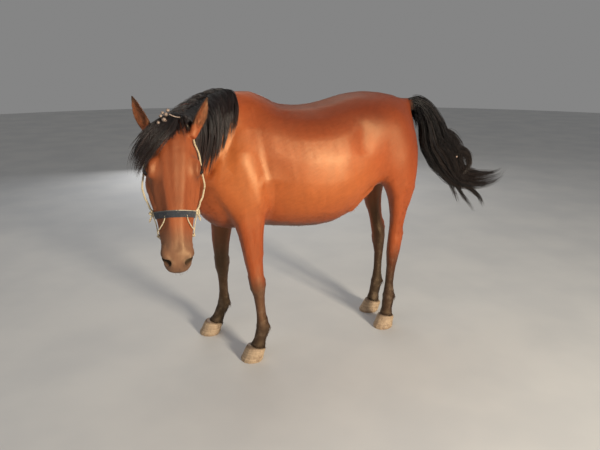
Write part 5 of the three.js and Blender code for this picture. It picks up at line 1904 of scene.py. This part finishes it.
# %% Longer hair where the outline shows it
under = smooth_step(-tri_normal[:, 2], -0.1, 0.7)
level = tri_place * (1, 0, 1)
fringe = flat_coat * (
    3.0 * under * (z > 600) * (z < 800)  # belly
    + 2.0 * nearness(level, [(-640, 0, 900), (-600, 0, 790)], 110)  # breast
    + 0.5 * nearness(level, [(600, 0, 1200), (560, 0, 1000), (520, 0, 860)], 90)  # back of the thigh
    + 0.5 * nearness(level, [(-350, 0, 860), (-340, 0, 760)], 80)  # elbow
    + 1.2 * nearness(level, [(250, 0, 850)], 90)  # flank
)
tuft_piece("coat_fringe", fringe, 4200, 0.023, 0.0016, 0.0026, droop=0.2, stray=0.2)
throat = tri_head * (1 - tri_ear) * (
    nearness(tri_local, [(150, 40, -235), (250, 28, -245), (350, 24, -190), (440, 20, -152)], 60)
    + 0.5 * nearness(tri_local, [(40, 60, -150), (110, 60, -200)], 60)
)  # fmt: skip
tuft_piece("coat_throat", throat, 2400, 0.018, 0.0014, 0.0040, droop=0.35, stray=0.3)
ahead = leg_spot(tri_place)[2]
fetlock = (z > 60) * (z < 250) * np.clip(-ahead / 30, 0, 1) ** 2
tuft_piece("coat_fetlocks", fetlock * (1 - tri_head), 2600, 0.026, 0.0014, 0.0040, steps=4, droop=0.7, stray=0.22)
coronet = (z > 60) * (z < 90) * (1 - tri_head)
tuft_piece("coat_coronets", coronet, 1800, 0.019, 0.0015, 0.0050, steps=4, droop=0.9, stray=0.15)
opening = to_model_axes(unfolded(ear_opens, tri_side))
inside_ear = tri_ear * (np.sum(tri_normal * opening, axis=1) > 0.1)
part = ear_place(tri_local)[0]
deep = inside_ear * (part > 0.12) * (part < 0.72)
tuft_piece("coat_in_ears", deep, 1100, 0.017, 0.0006, 0.003, steps=4, stray=0.12, color=EAR_INSIDE * 0.8)
tuft_piece("coat_on_ears", tri_ear * (1 - inside_ear), 3000, 0.007, 0.0014, 0.0006, steps=2)
chin = tri_head * (nearness(tri_local, [(556, 0, -130), (584, 0, -118)], 36) + 0.5 * nearness(tri_local, MOUTH, 22))
tuft_piece("whiskers", chin, 44, 0.020, 0.0006, 0.008, steps=6, droop=0.5, stray=0.4, color=srgb(84, 62, 50))
dock = (x > 632) * (z > 1150) * 1.0
dark_hair = {"material": mane_finish, "color": HAIR_ROOT}
tuft_piece("coat_dock", dock, 1200, 0.085, 0.0030, 0.010, steps=4, droop=0.9, stray=0.2, **dark_hair)

# %% [markdown]
# Lashes stand along the upper lid, on its edge. A few burrs are caught in the hair of poll, mane and tail: each
# is a ball whose every face is pulled out into a spine, which poking the faces does at once.

# %% Lashes and burrs
paths, outs = [], []
for side in (1, -1):
    along = np.repeat(np.linspace(-30, 44, 34), 2) + rng.uniform(-1, 1, 68)
    upper, _ = lid_edges(along)
    length = 6 + 5 * np.cos(np.radians((along - 10) * 1.6)) * rng.uniform(0.8, 1.1, 68)
    for t in np.linspace(0, 1, 6):
        local = on_ball(along + 5 * t, upper + 2 + (-8 * t + 10 * t * t), EYE_RADIUS + 2 + length[:, None] * t)
        paths.append(to_model(local, side))
paths = np.concatenate([np.stack(paths[:6], axis=1), np.stack(paths[6:], axis=1)])
outs = np.broadcast_to(-DOWN, paths.shape)
wide = rng.uniform(0.7, 1.1, len(paths)) * 0.0007
lash = np.tile(srgb(20, 14, 12), (len(paths), 1))
lashes = strand_mesh("eyelashes", paths, outs, wide, wide * 0.5, lash, lash, unwrapped(paths[:, 0]))
dress(add_object("eyelashes", lashes), mane_finish, "hair")

BURRS = [  # places in the head's frame, reach off the skin, radius
    (-6, -34, 36, 7), (2, -22, 40, 8), (8, -42, 38, 6.5), (-14, -14, 42, 7.5), (28, -30, 46, 9), (40, -52, 46, 6.5),
    (34, -22, 44, 6),
]  # fmt: skip
burr_finish, make, link = finish("burr", Specular_IOR_Level=0.3)
grain = place_of(make).noise(300, 3)
shell = grain.ramp(0.3, 0.7).tint(srgb(128, 104, 88), srgb(206, 186, 172))
link(Base_Color=shell, Roughness=0.7 + grain * 0.2, Normal=bump(make, grain, 0.0008, 0.6))


def burr(spot, radius):
    bm = bmesh.new()
    bmesh.ops.create_icosphere(bm, subdivisions=2, radius=radius * 0.62)
    bmesh.ops.poke(bm, faces=bm.faces[:], offset=radius * 0.55)
    turn = Matrix.Rotation(rng.uniform(0, 6), 3, Vector(rng.uniform(-1, 1, 3)).normalized())
    bmesh.ops.rotate(bm, verts=bm.verts, matrix=turn)
    bmesh.ops.translate(bm, verts=bm.verts, vec=spot)
    return mesh_from(bm, "burr")


burrs = [burr(face(*row[:3]), row[3] * MM) for row in BURRS]
burrs.append(burr(body(980, -20, 1000), 7 * MM))
burrs.append(burr(body(-640, -150, 1180), 6 * MM))
t = np.linspace(0, 1, 16)[:, None]
straw = np.array((4, -8, 46)) + np.array((6, 40, -12)) * t + np.array((16, 0, 16)) * (t - t * t) * 2
burrs.append(tube(from_head(straw), 2.6 * MM, sides=2, radii=np.linspace(1, 0.5, 16)))
dress(add_object("burrs", merged("burrs", burrs)), burr_finish, "hair")
